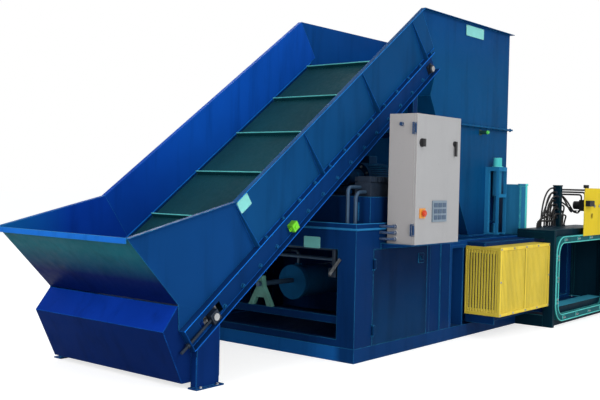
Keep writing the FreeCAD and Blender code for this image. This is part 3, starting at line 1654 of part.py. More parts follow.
def gearmotor():
    """The shaft-mounted gear unit and motor on the far side of the head drum."""
    y0 = gearbox_near()
    y1 = y0 + gearbox_depth
    s = conveyor_length
    h = gearbox_half
    case = block(s - gearbox_back, s + gearbox_nose, y0, y1, -h, h)
    round_end = rod(vec(s, y0, 0), vec(0, 1, 0), gearbox_depth, gearbox_round)
    motor = prism(vec(s - motor_offset, y1, 0), vec(0, 1, 0), drive_motor_length,
                  drive_motor_radius, 16)
    x0 = s - motor_offset - drive_box / 2
    box = block(x0, x0 + drive_box, y1 + drive_box_inset, y1 + drive_box_inset + drive_box_reach,
                0, drive_motor_radius + drive_box_rise)
    arm = block(s - gearbox_back, s - gearbox_back + torque_arm, far_y + frame_wall, y0,
                -torque_arm, torque_arm)
    unit = join([case, round_end, motor, box, arm])
    return on_conveyor(unit.cut(rod(vec(s, y0 - cut_over, 0), vec(0, 1, 0),
                                    gearbox_depth + 2 * cut_over, conveyor_shaft + shaft_gap)))


def chute_x(z):
    return chute_top_x + (chute_top_z - z) * chute_slope


def hopper_outline(z0, z1):
    """Corners of the hopper's side wall between two levels."""
    if z1 > chute_top_z:
        top_left = conveyor_point(skirt_end, frame_above + skirt_height)
        frame_end = conveyor_length + frame_head + slide_gap
        step = conveyor_point(frame_end, -frame_below - hopper_step)
        under = conveyor_point(frame_end, frame_above)
        inner = conveyor_point(skirt_end, frame_above)
        return [(chute_x(z0), z0), (chute_top_x, chute_top_z), step, under, inner, top_left,
                (top_left[0], z1), (hopper_end, z1), (hopper_end, z0)]
    return [(chute_x(z0), z0), (chute_x(z1), z1), (hopper_end, z1), (hopper_end, z0)]


def chute_wall():
    """The chute plate's width measured level."""
    return hopper_plate * math.hypot(1, chute_slope)


def hopper_shell(z0, z1, chute_z1):
    """Side walls, end wall and the sloping plate under the head drum."""
    t = hopper_plate
    level = chute_wall()
    side = outline_y(hopper_outline(z0, z1), conveyor_near - t, conveyor_near)
    end = block(hopper_end - t, hopper_end, conveyor_near, far_y, z0, z1)
    slope = [(chute_x(z0), z0), (chute_x(chute_z1), chute_z1),
             (chute_x(chute_z1) + level, chute_z1), (chute_x(z0) + level, z0)]
    return both_sides(side) + [end, outline_y(slope, conveyor_near, far_y)]


def seam_ring(z0, z1):
    """The bolted angle flange round the hopper at the seam, open over the chute."""
    t = hopper_plate
    y0 = conveyor_near - t
    x0 = chute_x(z0)
    near = block(x0, hopper_end + seam_flange, y0 - seam_flange, y0, z0, z1)
    end = block(hopper_end, hopper_end + seam_flange, y0, 2 * mid_y - y0, z0, z1)
    slope = block(x0 - seam_flange, x0, y0 - seam_flange, 2 * mid_y - y0 + seam_flange, z0, z1)
    inside = outline_y([(chute_x(z0) + t, z0 - cut_over), (chute_x(z1) + t, z1 + cut_over),
                        (hopper_end - t, z1 + cut_over), (hopper_end - t, z0 - cut_over)],
                       conveyor_near, far_y)
    return join(both_sides(near) + [end, slope]).cut(inside)


def hopper_upper():
    low = seam_level
    t = hopper_plate
    y0 = conveyor_near - t
    x0 = conveyor_point(skirt_end, frame_above + skirt_height)[0]
    pieces = hopper_shell(low, hopper_top, chute_top_z)
    rim = block(x0 + t, hopper_end + skirt_lip, y0 - skirt_lip, y0, hopper_top - t, hopper_top)
    pieces += both_sides(rim)
    pieces.append(block(hopper_end, hopper_end + skirt_lip, y0, 2 * mid_y - y0, hopper_top - t,
                        hopper_top))
    return join(pieces + [seam_ring(low, low + seam_plate)])


def hopper_lower():
    high = seam_level
    t = hopper_plate
    pieces = hopper_shell(rib_top, high, high)
    body = join(pieces + [seam_ring(high - seam_plate, high)])
    cx = tower_x + tower_width / 2
    half = tower_width / 2 - tower_bar
    y0 = conveyor_near - t - cut_over
    port = block(cx - half, cx + half, y0, conveyor_near + cut_over, gate_bottom + gate_lap,
                 gate_bottom + gate_height - gate_lap)
    return body.cut(port)


def seam_bolts():
    """Hexagon bolts and nuts through the seam flange, on the near and far side and the end."""
    y0 = conveyor_near - hopper_plate - seam_flange / 2
    x0 = chute_x(seam_level) + seam_flange
    x1 = hopper_end + seam_flange / 2
    pitch = (x1 - x0) / (seam_bolt_count - 1)
    places = []
    for i in range(seam_bolt_count):
        places.append((x0 + i * pitch, y0))
        places.append((x0 + i * pitch, 2 * mid_y - y0))
    count = seam_bolt_count // 2
    for i in range(1, count):
        places.append((x1, y0 + i * 2 * (mid_y - y0) / count))
    bolts = []
    for x, y in places:
        for z, up in ((seam_level + seam_plate, 1), (seam_level - seam_plate, -1)):
            bolts.append(prism(vec(x, y, z), vec(0, 0, up), seam_bolt_head, seam_bolt, 6))
    return Part.makeCompound(bolts)


def cabinet_bounds():
    y1 = -cabinet_back
    y0 = y1 - cabinet_depth + cabinet_door
    return (cabinet_x, cabinet_x + cabinet_width, y0, y1, cabinet_level,
            cabinet_level + cabinet_height)


def cabinet_box():
    """The folded case with its hinge pins, a side vent and conduits at the lower left."""
    x0, x1, y0, y1, z0, z1 = cabinet_bounds()
    t = cabinet_skin
    case = block(x0, x1, y0, y1, z0, z1)
    case = case.cut(block(x0 + t, x1 - t, y0 - cut_over, y1 - t, z0 + t, z1 - t))
    edge = cabinet_plate_inset
    plate = block(x0 + edge, x1 - edge, y1 - t - cabinet_plate, y1 - t, z0 + edge, z1 - edge)
    pin_x = x0 - hinge_radius
    pins = hinge_pins(pin_x, y0 - cabinet_door / 2, z0, z1)
    for z in hinge_levels(z0, z1):
        pins.append(block(pin_x - hinge_radius, x0, y0, y0 + hinge_foot, z - hinge_radius,
                          z + hinge_height + hinge_radius))
    vent = prism(vec(x0, (y0 + y1) / 2, z1 - vent_drop), vec(-1, 0, 0), vent_depth, vent_radius, 12)
    return Part.makeCompound([case, plate, vent] + join(pins).Solids + conduits())


def conduits():
    """Bent conduits from glands on the cabinet's left side to the face of the bay."""
    x0 = cabinet_x
    y = -conduit_back
    runs = []
    for i in range(conduit_count):
        z = cabinet_level + conduit_level + i * conduit_pitch
        gland = prism(vec(x0, y, z), vec(-1, 0, 0), conduit_gland_length, conduit_gland, 6)
        start = x0 - conduit_gland_length
        points = [(start, y, z), (x0 - conduit_reach, y, z), (x0 - conduit_reach, -seat_gap, z)]
        runs += [gland, bent_pipe(points, conduit_radius, conduit_bend, 10)]
    return runs


def cabinet_door_panel():
    x0, x1, y0, y1, z0, z1 = cabinet_bounds()
    y_in = y0 - seat_gap
    y_out = y0 - cabinet_door
    f = door_fold
    slab = block(x0, x1, y_out, y_in, z0, z1)
    core = block(x0 + f, x1 - f, y_out + door_panel_skin, y_in + cut_over, z0 + f, z1 - f)
    pieces = [slab.cut(core)]
    cx = x0 - hinge_radius
    cy = y0 - cabinet_door / 2
    half = door_panel_skin
    for z in hinge_levels(z0, z1):
        pieces.append(rod(vec(cx, cy, z), vec(0, 0, 1), hinge_height, hinge_radius - cut_over))
        pieces.append(block(cx, x0, cy - half, cy + half, z, z + hinge_height))
    door = join(pieces)
    for z in hinge_levels(z0, z1):
        door = door.cut(rod(vec(cx, cy, z - cut_over), vec(0, 0, 1), hinge_height + 2 * cut_over,
                            hinge_pin + shaft_gap))
    for x, z, radius in door_holes():
        door = door.cut(rod(vec(x, y_out - cut_over, z), vec(0, 1, 0), cabinet_door + 2 * cut_over,
                            radius))
    return door


def door_face():
    return -cabinet_back - cabinet_depth


def handle_place():
    return cabinet_x + cabinet_width - handle_inset, cabinet_level + handle_height


def knob_place():
    return cabinet_x + knob_inset, cabinet_level + knob_height


def button_place():
    return cabinet_x + button_inset, cabinet_level + button_height


def door_holes():
    holes = []
    for (x, z), radius in ((handle_place(), knob_spindle), (knob_place(), knob_spindle),
                           (button_place(), button_stem)):
        holes.append((x, z, radius + shaft_gap))
    return holes


def keypad():
    """The operator panel: a raised plate with a grid of keys."""
    x0 = cabinet_x + keypad_inset
    z0 = cabinet_level + keypad_height
    y = door_face()
    front = y - keypad_depth
    pieces = [block(x0, x0 + keypad_width, front, y, z0, z0 + keypad_rise)]
    span = key_columns * key_gap - key_gap + 2 * key_margin
    width = (keypad_width - span) / key_columns
    height = (keypad_rise - span) / key_columns
    for i in range(key_columns):
        for j in range(key_columns):
            x = x0 + key_margin + i * (width + key_gap)
            z = z0 + key_margin + j * (height + key_gap)
            pieces.append(block(x, x + width, front - key_proud, front, z, z + height))
    return join(pieces)


def door_handle():
    x, z = handle_place()
    y = door_face()
    inner = cabinet_door - 2 * door_panel_skin
    half = handle_width / 2
    rose_y = y - handle_rose_depth
    spindle = rod(vec(x, y + inner, z), vec(0, -1, 0), inner + handle_rose_depth, knob_spindle)
    rose = prism(vec(x, y, z), vec(0, -1, 0), handle_rose_depth, handle_rose, 12)
    lever = block(x - half, x + half, rose_y - handle_thickness, rose_y, z - handle_drop,
                  z + handle_rise)
    return join([spindle, rose, lever])


def disconnect_knob():
    x, z = knob_place()
    y = door_face()
    inner = cabinet_door - 2 * door_panel_skin
    grip_y = y - knob_base_depth
    spindle = rod(vec(x, y + inner, z), vec(0, -1, 0), inner + knob_base_depth, knob_spindle)
    base = prism(vec(x, y, z), vec(0, -1, 0), knob_base_depth, knob_base, 16)
    grip = block(x - knob_grip / 2, x + knob_grip / 2, grip_y - knob_grip_depth, grip_y,
                 z - knob_grip_length / 2, z + knob_grip_length / 2)
    return join([spindle, base, grip])


def stop_button():
    """The mushroom head and its stem, which slides through the yellow collar and the door."""
    x, z = button_place()
    inner = cabinet_door - button_stem
    lift = inner + button_lift
    top = lift + button_head_depth
    profile = [(0, 0), (0, button_stem), (lift, button_stem), (lift, button_head),
               (top, button_head), (top, button_crown), (top + button_crown_depth, button_crown),
               (top + button_crown_depth, 0)]
    return turned(profile, vec(x, door_face() + inner, z), vec(0, -1, 0))


def stop_plate():
    x, z = button_place()
    y = door_face()
    half = button_plate / 2
    plate = block(x - half, x + half, y - button_plate_depth, y, z - half, z + half)
    return plate.cut(rod(vec(x, y + cut_over, z), vec(0, -1, 0), button_plate_depth + 2 * cut_over,
                         button_stem + shaft_gap))


def tank_top():
    return deck_level + deck_plate + tank_height


def oil_tank():
    x1 = tank_x + tank_length
    y1 = tank_near + tank_depth
    z0 = deck_level + deck_plate
    top = tank_top()
    body = block(tank_x, x1, tank_near, y1, z0, top)
    gap = foot_margin + support_gap
    recess = block(support_x - gap, support_x + support_width + gap, tank_near - cut_over,
                   conveyor_near + gap, z0 - cut_over, top + cut_over)
    cover = prism(vec(tank_x + tank_cover_inset_x, y1 - tank_cover_inset_y, top), vec(0, 0, 1),
                  tank_cover_plate, tank_cover, 16)
    cap = prism(vec(tank_x + filler_x, y1 - filler_inset_y, top), vec(0, 0, 1), filler_height,
                filler_radius, 12)
    near = tank_near + gauge_near
    gauge = block(tank_x - gauge_depth, tank_x, near, near + gauge_width, z0 + gauge_level,
                  z0 + gauge_level + gauge_height)
    return join([body.cut(recess), cover, cap, gauge])


def pump_motors():
    """Two motor and pump sets lying on the tank, each on a foot."""
    sets = []
    x0 = tank_x + motor_x
    r = motor_radius
    z = tank_top() + r + motor_foot
    pump0 = -(pump_length + bell_length)
    profile = [(pump0, 0), (pump0, pump_radius), (-bell_length, pump_radius),
               (-bell_length, bell_radius), (0, bell_radius), (0, r), (motor_length, r),
               (motor_length, fan_cover_radius), (motor_length + fan_cover, fan_cover_radius),
               (motor_length + fan_cover, 0)]
    for y in (mid_y - motor_near, mid_y + motor_far):
        motor = turned(profile, vec(x0, y, z), vec(1, 0, 0))
        half = motor_foot_width / 2
        foot = block(x0 + motor_foot_inset, x0 + motor_length - motor_foot_inset, y - half,
                     y + half, tank_top(), z - r / 2)
        side = terminal_box_width / 2
        box_x0 = x0 + terminal_box_x
        box = block(box_x0, box_x0 + terminal_box_length, y - side, y + side, z + r / 2,
                    z + r + terminal_box_height)
        sets.append(join([motor, foot, box]))
    return Part.makeCompound(sets)


def valve_bounds():
    x0 = tank_x + block_x
    y0 = tank_near + block_near
    z0 = tank_top()
    return x0, x0 + block_length, y0, y0 + block_depth, z0, z0 + block_height


def valve_block():
    """The drilled manifold with its row of stacked valves and solenoids."""
    x0, x1, y0, y1, z0, z1 = valve_bounds()
    pieces = [block(x0, x1, y0, y1, z0, z1)]
    pitch = (x1 - x0 - 2 * valve_margin) / valve_count
    width = pitch - valve_space
    r = solenoid_radius
    middle = z1 + valve_height / 2
    for i in range(valve_count):
        x = x0 + valve_margin + i * pitch
        pieces.append(block(x, x + width, y0 + solenoid_reach, y1 - solenoid_reach, z1,
                            z1 + valve_height))
        pieces.append(block(x + width / 2 - r, x + width / 2 + r, y0 - solenoid_reach,
                            y1 + solenoid_reach, middle - r, middle + r))
    return join(pieces)


def shutoff_valve():
    """The ball valve that the lever turns, beside the corner post at the open end of the bay."""
    x, y, z = lever_place()
    h = valve_half
    top = z + h
    body = block(x - h, x + h, y - h, y + h, z - h, top)
    neck = prism(vec(x, y, top), vec(0, 0, 1), header_bottom - top, valve_neck, 10)
    bonnet = prism(vec(x - h, y, z), vec(-1, 0, 0), valve_bonnet_length, valve_bonnet, 8)
    valve = join([body, neck, bonnet])
    bore = rod(vec(x + post_wall, y, z), vec(-1, 0, 0), post_width, lever_spindle + shaft_gap)
    return valve.cut(bore)


def lever_place():
    return post_width / 2 - valve_lap, corner_post_width + valve_stand_off, header_bottom - valve_drop


def valve_lever():
    """A flat handle on the valve's spindle, lying aslant when open."""
    x, y, z = lever_place()
    x_face = x - valve_half - valve_bonnet_length - seat_gap
    start = x + hinge_pin
    spindle = rod(vec(start, y, z), vec(-1, 0, 0), start - x_face + lever_thickness + hinge_pin,
                  lever_spindle)
    half = lever_width / 2
    bar = block(x_face - lever_thickness, x_face, y - half, y + half, z - lever_tail,
                z - lever_tail + lever_length)
    bar.rotate(vec(x, y, z), vec(1, 0, 0), lever_slant)
    return join([spindle, bar])


def pipe_bracket():
    """The A-shaped cast bracket that holds the feed pipe at the open end of the bay."""
    x0 = post_width / 2 + bracket_play
    x1 = post_width - bracket_play
    base = low_beam_level
    top = axis_z + bracket_rise
    shoulder = axis_z
    crotch = base + bracket_crotch_rise
    half = [(bracket_foot, base), (bracket_shoulder, shoulder), (bracket_neck, top)]
    shape = [(mid_y - bracket_foot, base), (mid_y - bracket_foot_inner, base),
             (mid_y - bracket_crotch, crotch), (mid_y + bracket_crotch, crotch),
             (mid_y + bracket_foot_inner, base)]
    shape += [(mid_y + reach, z) for reach, z in half]
    shape += [(mid_y - reach, z) for reach, z in reversed(half[1:])]
    plate = outline_x(shape, x0, x1)
    return plate.cut(rod(vec(x0 - cut_over, mid_y, axis_z + feed_rise), vec(1, 0, 0),
                         x1 - x0 + 2 * cut_over, feed_radius + seat_gap))


def hydraulic_pipes():
    """Steel pipes from the manifold to the main cylinder's two ports and its end bracket."""
    x0, x1, y0, y1, z0, z1 = valve_bounds()
    x_drop = post_width + pipe_drop_x
    front_port, rear_port = port_places()
    level = header_bottom - pipe_level_gap
    high = level + pipe_level_rise
    top = port_top()
    near = y0 + block_depth / 3
    far = y0 + 2 * block_depth / 3
    low_run = z0 + block_height / 3
    high_run = z0 + 2 * block_height / 3
    side = x_drop - pipe_spread
    offset_y = mid_y + pipe_drop_x + wall_plate
    pipes = [bent_pipe([(x0, near, low_run), (x_drop, near, low_run), (x_drop, near, high),
                        (x_drop, mid_y, high), (front_port, mid_y, high),
                        (front_port, mid_y, top)], pipe_radius, pipe_bend, 10)]
    pipes.append(bent_pipe([(x0, far, high_run), (side, far, high_run), (side, far, level),
                            (side, offset_y, level), (rear_port, offset_y, level),
                            (rear_port, mid_y, level), (rear_port, mid_y, top)], pipe_radius,
                           pipe_spread, 10))
    rear = bay_length - main_barrel_length
    pipes.append(rod(vec(rear, mid_y, axis_z + feed_rise), vec(-1, 0, 0),
                     rear - post_width / 2 + feed_stub, feed_radius))
    return Part.makeCompound(pipes)


def photo_eye():
    """The level sensor on the hopper's near wall, on its small bracket."""
    x = throat_start + eye_offset
    y = conveyor_near - hopper_plate
    z = seam_level - eye_drop
    back = y - eye_bracket
    edge = eye_radius + eye_margin
    bracket = block(x - edge, x + edge, back, y, z - edge, z + edge)
    body = prism(vec(x, back, z), vec(0, -1, 0), eye_length, eye_radius, 12)
    lens = prism(vec(x, back - eye_length, z), vec(0, -1, 0), eye_lens_depth, eye_lens, 12)
    return join([bracket, body, lens])


def pull_switch():
    """The stop switch on the near side frame of the conveyor, with its cord eye."""
    y = conveyor_near - frame_wall
    s = switch_place
    half = switch_height / 2
    middle = y - switch_depth / 2
    body = block(s, s + switch_length, y - switch_depth, y, -half, half)
    plate = block(s - switch_eye, s, middle - switch_eye_plate / 2, middle + switch_eye_plate / 2,
                  -switch_eye / 2, switch_eye / 2)
    hole = rod(vec(s - switch_eye / 2, middle - switch_eye, 0), vec(0, 1, 0), 2 * switch_eye,
               switch_eye / 4)
    boss = prism(vec(s + switch_length / 2, y - switch_depth, 0), vec(0, -1, 0),
                 switch_boss_depth, switch_boss, 12)
    return on_conveyor(join([body, plate.cut(hole), boss]))


def save(name, shape):
    placed = shape.copy()
    placed.translate(shift)
    placed.exportStep("parts/" + name + ".step")


nodes = {
    "skid_base": skid_base,
    "bay_frame": bay_frame,
    "access_door": access_door,
    "charge_box": charge_box,
    "bale_chamber": bale_chamber,
    "main_ram": main_ram,
    "main_rod": main_cylinder_rod,
    "main_cylinder": main_cylinder,
    "ejector_platen": ejector_platen,
    "ejector_rod": ejector_cylinder_rod,
    "ejector_cylinder": ejector_cylinder,
    "door_tracks": door_tracks,
    "bale_door": bale_door,
    "door_cylinder": door_cylinder,
    "door_rod": door_cylinder_rod,
    "guard_frame": guard_frame,
    "guard_mesh": guard_mesh,
    "tier_frame": tier_frame,
    "wire_track": wire_track,
    "tie_plates": tie_plates,
    "tie_drive": tie_drive,
    "feed_wheel": lambda: tie_wheel_node(1),
    "pinch_wheel": lambda: tie_wheel_node(0),
    "tier_pipes": tier_pipes,
    "valve_box": valve_box,
    "gate_tower": gate_tower,
    "gate_cylinder": gate_cylinder,
    "inspection_gate": inspection_gate,
    "conveyor_frame": conveyor_frame,
    "conveyor_belt": conveyor_belt,
    "belt_cleats": belt_cleats,
    "skirt_near": lambda: skirt(conveyor_near),
    "skirt_far": lambda: skirt(far_y),
    "receiving_hopper": receiving_hopper,
    "tail_box": tail_box,
    "conveyor_legs": conveyor_legs,
    "conveyor_support": conveyor_support,
    "shaft_bearings": shaft_bearings,
    "head_drum": head_drum,
    "tail_drum": tail_drum,
    "gearmotor": gearmotor,
    "hopper_upper": hopper_upper,
    "hopper_lower": hopper_lower,
    "seam_bolts": seam_bolts,
    "cabinet_box": cabinet_box,
    "cabinet_door": cabinet_door_panel,
    "keypad": keypad,
    "door_handle": door_handle,
    "disconnect_knob": disconnect_knob,
    "stop_button": stop_button,
    "stop_plate": stop_plate,
    "oil_tank": oil_tank,
    "pump_motors": pump_motors,
    "valve_block": valve_block,
    "shutoff_valve": shutoff_valve,
    "valve_lever": valve_lever,
    "pipe_bracket": pipe_bracket,
    "hydraulic_pipes": hydraulic_pipes,
    "photo_eye": photo_eye,
    "pull_switch": pull_switch,
}

for name, make in nodes.items():
    save(name, make())
print(len(nodes), "pieces written")
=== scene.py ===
import bpy
import bmesh
import math
import random
from mathutils import Matrix, Vector


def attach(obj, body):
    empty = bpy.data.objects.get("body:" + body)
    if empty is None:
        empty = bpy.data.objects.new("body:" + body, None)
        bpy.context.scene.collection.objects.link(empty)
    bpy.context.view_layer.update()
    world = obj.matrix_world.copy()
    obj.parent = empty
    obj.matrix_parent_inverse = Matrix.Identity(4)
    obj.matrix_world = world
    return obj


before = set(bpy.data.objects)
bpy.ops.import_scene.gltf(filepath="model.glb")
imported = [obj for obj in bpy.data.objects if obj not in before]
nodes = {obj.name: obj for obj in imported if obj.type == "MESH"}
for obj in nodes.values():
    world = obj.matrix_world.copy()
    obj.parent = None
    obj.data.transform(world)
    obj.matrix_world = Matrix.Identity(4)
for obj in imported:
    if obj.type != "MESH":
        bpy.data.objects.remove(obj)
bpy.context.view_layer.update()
scene = bpy.context.scene
scene.view_settings.view_transform = "Standard"

# places below are in millimetres from the body's near left corner, as the machine was drawn
corner = Vector((-1.35191, -2.02735, 0.0))


def at(x, y, z):
    return Vector((x / 1000, y / 1000, z / 1000)) + corner


# camera, floor and lights
cameraPlace = {
    "eye": (-7.896, -6.663, 1.664),   # metres, a standing person's eye
    "heading": 38.957,                # degrees from +X towards +Y
    "lookUp": -0.025,
    "roll": 0.022,
    "lens": 53.8,
    "sensor": 36.0,
    "clip": (0.1, 200.0),
}


def setCamera(place):
    camData = bpy.data.cameras.new("photoCamera")
    camData.lens = place["lens"]
    camData.sensor_width = place["sensor"]
    camData.clip_start, camData.clip_end = place["clip"]
    cam = bpy.data.objects.new("photoCamera", camData)
    scene.collection.objects.link(cam)
    turn, lift = math.radians(place["heading"]), place["lookUp"]
    ahead = Vector((math.cos(turn) * math.cos(lift), math.sin(turn) * math.cos(lift), math.sin(lift)))
    right = Vector((math.sin(turn), -math.cos(turn), 0.0))
    up = right.cross(ahead)
    face = Matrix((right, up, -ahead)).transposed()
    spin = Matrix.Rotation(place["roll"], 3, "Z")
    cam.matrix_world = Matrix.Translation(place["eye"]) @ (face @ spin).to_4x4()
    scene.camera = cam


studio = {
    "lamps": {   # lowLamp lights the open bay and the exit
        "keyLamp": {"place": (-1.5, -9.5, 7.0), "size": 5.0, "power": 330.0, "aim": (0.0, -1.0, 1.2)},
        "fillLamp": {"place": (-10.5, -1.0, 4.5), "size": 5.0, "power": 420.0, "aim": (-1.5, 0.0, 1.2)},
        "lowLamp": {"place": (-4.2, -8.6, 1.3), "size": 3.0, "power": 200.0, "aim": (1.0, -0.6, 0.5)},
        "backLamp": {"place": (6.5, 7.5, 7.5), "size": 6.0, "power": 650.0, "aim": (0.0, 0.0, 1.5)},
    },
    "skyColour": (0.95, 0.98, 1.0),
    "skyPower": 0.55,
    "floorGrey": 0.56,
    "floorGlow": 0.70,
    "floorReach": 60.0,
    "floorDrop": 0.002,
}


def areaLamp(name, values):
    data = bpy.data.lights.new(name, "AREA")
    data.shape = "SQUARE"
    data.size = values["size"]
    data.energy = values["power"]
    lamp = bpy.data.objects.new(name, data)
    lamp.location = values["place"]
    lamp.rotation_mode = "QUATERNION"
    lamp.rotation_quaternion = (Vector(values["aim"]) - Vector(values["place"])).to_track_quat("-Z", "Y")
    scene.collection.objects.link(lamp)


class Wiring:   # a node tree and the means to string it together
    def add(self, kind, **values):
        node = self.tree.nodes.new(kind)
        for key, value in values.items():
            setattr(node, key, value)
        return node

    def link(self, a, b):
        self.tree.links.new(a, b)

    def math(self, kind, a, b):
        node = self.add("ShaderNodeMath", operation=kind)
        for value, socket in ((a, node.inputs[0]), (b, node.inputs[1])):
            if isinstance(value, float):
                socket.default_value = value
            else:
                self.link(value, socket)
        return node.outputs[0]

    def times(self, a, b):
        return self.math("MULTIPLY", a, b)


class Surroundings(Wiring):   # the sky's or the floor's tree
    def __init__(self, owner, outputKind):
        owner.use_nodes = True
        self.tree = owner.node_tree
        self.tree.nodes.clear()
        self.surface = self.add(outputKind).inputs["Surface"]

    def glow(self, kind, colour, power):
        node = self.add(kind)
        node.inputs["Color"].default_value = (*colour, 1.0)
        if isinstance(power, float):
            node.inputs["Strength"].default_value = power
        else:
            self.link(power, node.inputs["Strength"])
        return node.outputs[0]

    def seen(self):   # 1 for what the camera sees straight, in a mirror or through glass
        path = self.add("ShaderNodeLightPath")
        share = path.outputs["Is Camera Ray"]
        for kind in ("Is Glossy Ray", "Is Transmission Ray"):
            share = self.math("MAXIMUM", share, path.outputs[kind])
        return share


def setStudio(values):
    white = (1.0, 1.0, 1.0)
    for name, lamp in values["lamps"].items():
        areaLamp(name, lamp)
    world = bpy.data.worlds.new("studioWorld")
    scene.world = world
    sky = Surroundings(world, "ShaderNodeOutputWorld")
    mix = sky.add("ShaderNodeMixShader")
    sky.link(sky.seen(), mix.inputs["Fac"])
    sky.link(sky.glow("ShaderNodeBackground", values["skyColour"], values["skyPower"]), mix.inputs[1])
    sky.link(sky.glow("ShaderNodeBackground", white, 1.0), mix.inputs[2])
    sky.link(mix.outputs[0], sky.surface)
    reach = values["floorReach"]
    corners = [(-reach, -reach, 0), (reach, -reach, 0), (reach, reach, 0), (-reach, reach, 0)]
    floorMesh = bpy.data.meshes.new("studioFloor")
    floorMesh.from_pydata(corners, [], [(0, 1, 2, 3)])
    floor = bpy.data.objects.new("studioFloor", floorMesh)
    scene.collection.objects.link(floor)
    floor.location.z = -values["floorDrop"]
    paint = bpy.data.materials.new("paleFloor")
    ground = Surroundings(paint, "ShaderNodeOutputMaterial")
    matt = ground.add("ShaderNodeBsdfDiffuse")
    matt.inputs["Color"].default_value = (*[values["floorGrey"]] * 3, 1.0)
    both = ground.add("ShaderNodeAddShader")
    shine = ground.times(ground.seen(), values["floorGlow"])
    ground.link(matt.outputs[0], both.inputs[0])
    ground.link(ground.glow("ShaderNodeEmission", white, shine), both.inputs[1])
    ground.link(both.outputs[0], ground.surface)
    floorMesh.materials.append(paint)


setCamera(cameraPlace)
setStudio(studio)
print("camera and studio ready")


class Finish(Wiring):   # one material
    def __init__(self, name):
        self.mat = bpy.data.materials.new(name)
        self.mat.use_nodes = True
        self.tree = self.mat.node_tree
        self.shader = self.tree.nodes["Principled BSDF"]
        self.coord = self.add("ShaderNodeTexCoord")
        self.geometry = self.add("ShaderNodeNewGeometry")

    def noise(self, scale, detail=4.0, rough=0.55, stretch=None):
        node = self.add("ShaderNodeTexNoise")
        node.inputs["Scale"].default_value = scale
        node.inputs["Detail"].default_value = detail
        node.inputs["Roughness"].default_value = rough
        source = self.coord.outputs["Object"]
        if stretch:
            mapping = self.add("ShaderNodeMapping")
            mapping.inputs["Scale"].default_value = stretch
            self.link(source, mapping.inputs["Vector"])
            source = mapping.outputs["Vector"]
        self.link(source, node.inputs["Vector"])
        return node.outputs["Fac"]

    def ramp(self, source, stops):
        node = self.add("ShaderNodeValToRGB")
        ramp = node.color_ramp
        while len(ramp.elements) < len(stops):
            ramp.elements.new(0.5)
        for element, (place, colour) in zip(ramp.elements, stops):
            element.position = place
            element.color = (*colour, 1.0)
        self.link(source, node.inputs["Fac"])
        return node.outputs["Color"]

    def span(self, source, low, high, lowTo, highTo):
        node = self.add("ShaderNodeMapRange")
        for key, value in (("From Min", low), ("From Max", high), ("To Min", lowTo), ("To Max", highTo)):
            node.inputs[key].default_value = value
        self.link(source, node.inputs["Value"])
        return node.outputs["Result"]

    def blend(self, share, a, b):
        node = self.add("ShaderNodeMix", data_type="RGBA")
        self.link(share, node.inputs["Factor"])
        for value, socket in ((a, node.inputs[6]), (b, node.inputs[7])):
            if isinstance(value, tuple):
                socket.default_value = (*value, 1.0)
            else:
                self.link(value, socket)
        return node.outputs[2]

    def mark(self, values, lowTo, highTo):   # a noise, and the limits between which it counts
        noise, low, high = values
        return self.span(self.noise(*noise), low, high, lowTo, highTo)

    def mottled(self, mark, colour, vary):
        return self.blend(self.mark(mark, 0.0, 1.0), shade(colour, 1.0 - vary), shade(colour, 1.0 + vary))

    def cloudy(self, look, colour):
        stops = [(place, shade(colour, factor)) for place, factor in look["shades"]]
        return self.ramp(self.noise(*look["cloud"]), stops)

    def sheen(self, look, rough):
        below, above = look["sheenSpan"]
        return self.mark(look["sheen"], rough - below, rough + above)

    def dot(self, a, b):
        node = self.add("ShaderNodeVectorMath", operation="DOT_PRODUCT")
        for value, socket in ((a, node.inputs[0]), (b, node.inputs[1])):
            if isinstance(value, tuple):
                socket.default_value = value
            else:
                self.link(value, socket)
        return node.outputs["Value"]

    def along(self, way, low, high):   # 0 to 1 between two places, in metres along a direction
        return self.span(self.dot(self.coord.outputs["Object"], way), low, high, 0.0, 1.0)

    def facing(self, way, low, high):   # 0 to 1 as the face turns to a direction
        return self.span(self.dot(self.geometry.outputs["Normal"], way), low, high, 0.0, 1.0)

    def band(self, way, low, high):   # 1 between two places along a direction, with soft ends
        back = tuple(-c for c in way)
        fade = 0.004
        return self.times(self.along(way, low - fade, low), self.along(back, -high - fade, -high))

    def zone(self, tests):   # the product of its tests
        share = None
        for kind, *limits in tests:
            part = getattr(self, kind)(*limits)
            share = part if share is None else self.times(share, part)
        return share

    def bump(self, height, strength, distance, normal=None):
        node = self.add("ShaderNodeBump")
        node.inputs["Strength"].default_value = strength
        node.inputs["Distance"].default_value = distance
        self.link(height, node.inputs["Height"])
        if normal is not None:
            self.link(normal, node.inputs["Normal"])
        return node.outputs["Normal"]

    def softEdge(self, radius):
        node = self.add("ShaderNodeBevel", samples=4)
        node.inputs["Radius"].default_value = radius
        return node.outputs["Normal"]

    def edgeShare(self, rounded, low, high):
        return self.span(self.dot(rounded, self.geometry.outputs["Normal"]), 1.0 - low, 1.0 - high, 0.0, 1.0)

    def close(self, tone, roughness, normal, gloss=None):
        for source, socket in ((tone, "Base Color"), (roughness, "Roughness"), (normal, "Normal")):
            self.link(source, self.shader.inputs[socket])
        if gloss is not None:
            self.shader.inputs["Specular IOR Level"].default_value = gloss
        return self.mat


def shade(colour, factor):
    return tuple(min(1.0, c * factor) for c in colour)


# the colours along enamel edges: partly edge wear, partly a painted highlight where the edges catch the light
paleEdge = (0.030, 0.270, 0.520)
brightEdge = (0.010, 0.150, 0.620)
tealEdge = (0.090, 0.680, 0.640)
yellowCoat = {"edge": (0.95, 0.80, 0.22), "dust": 0.08, "wave": 0.1, "glossTint": (1.0, 0.85, 0.5)}

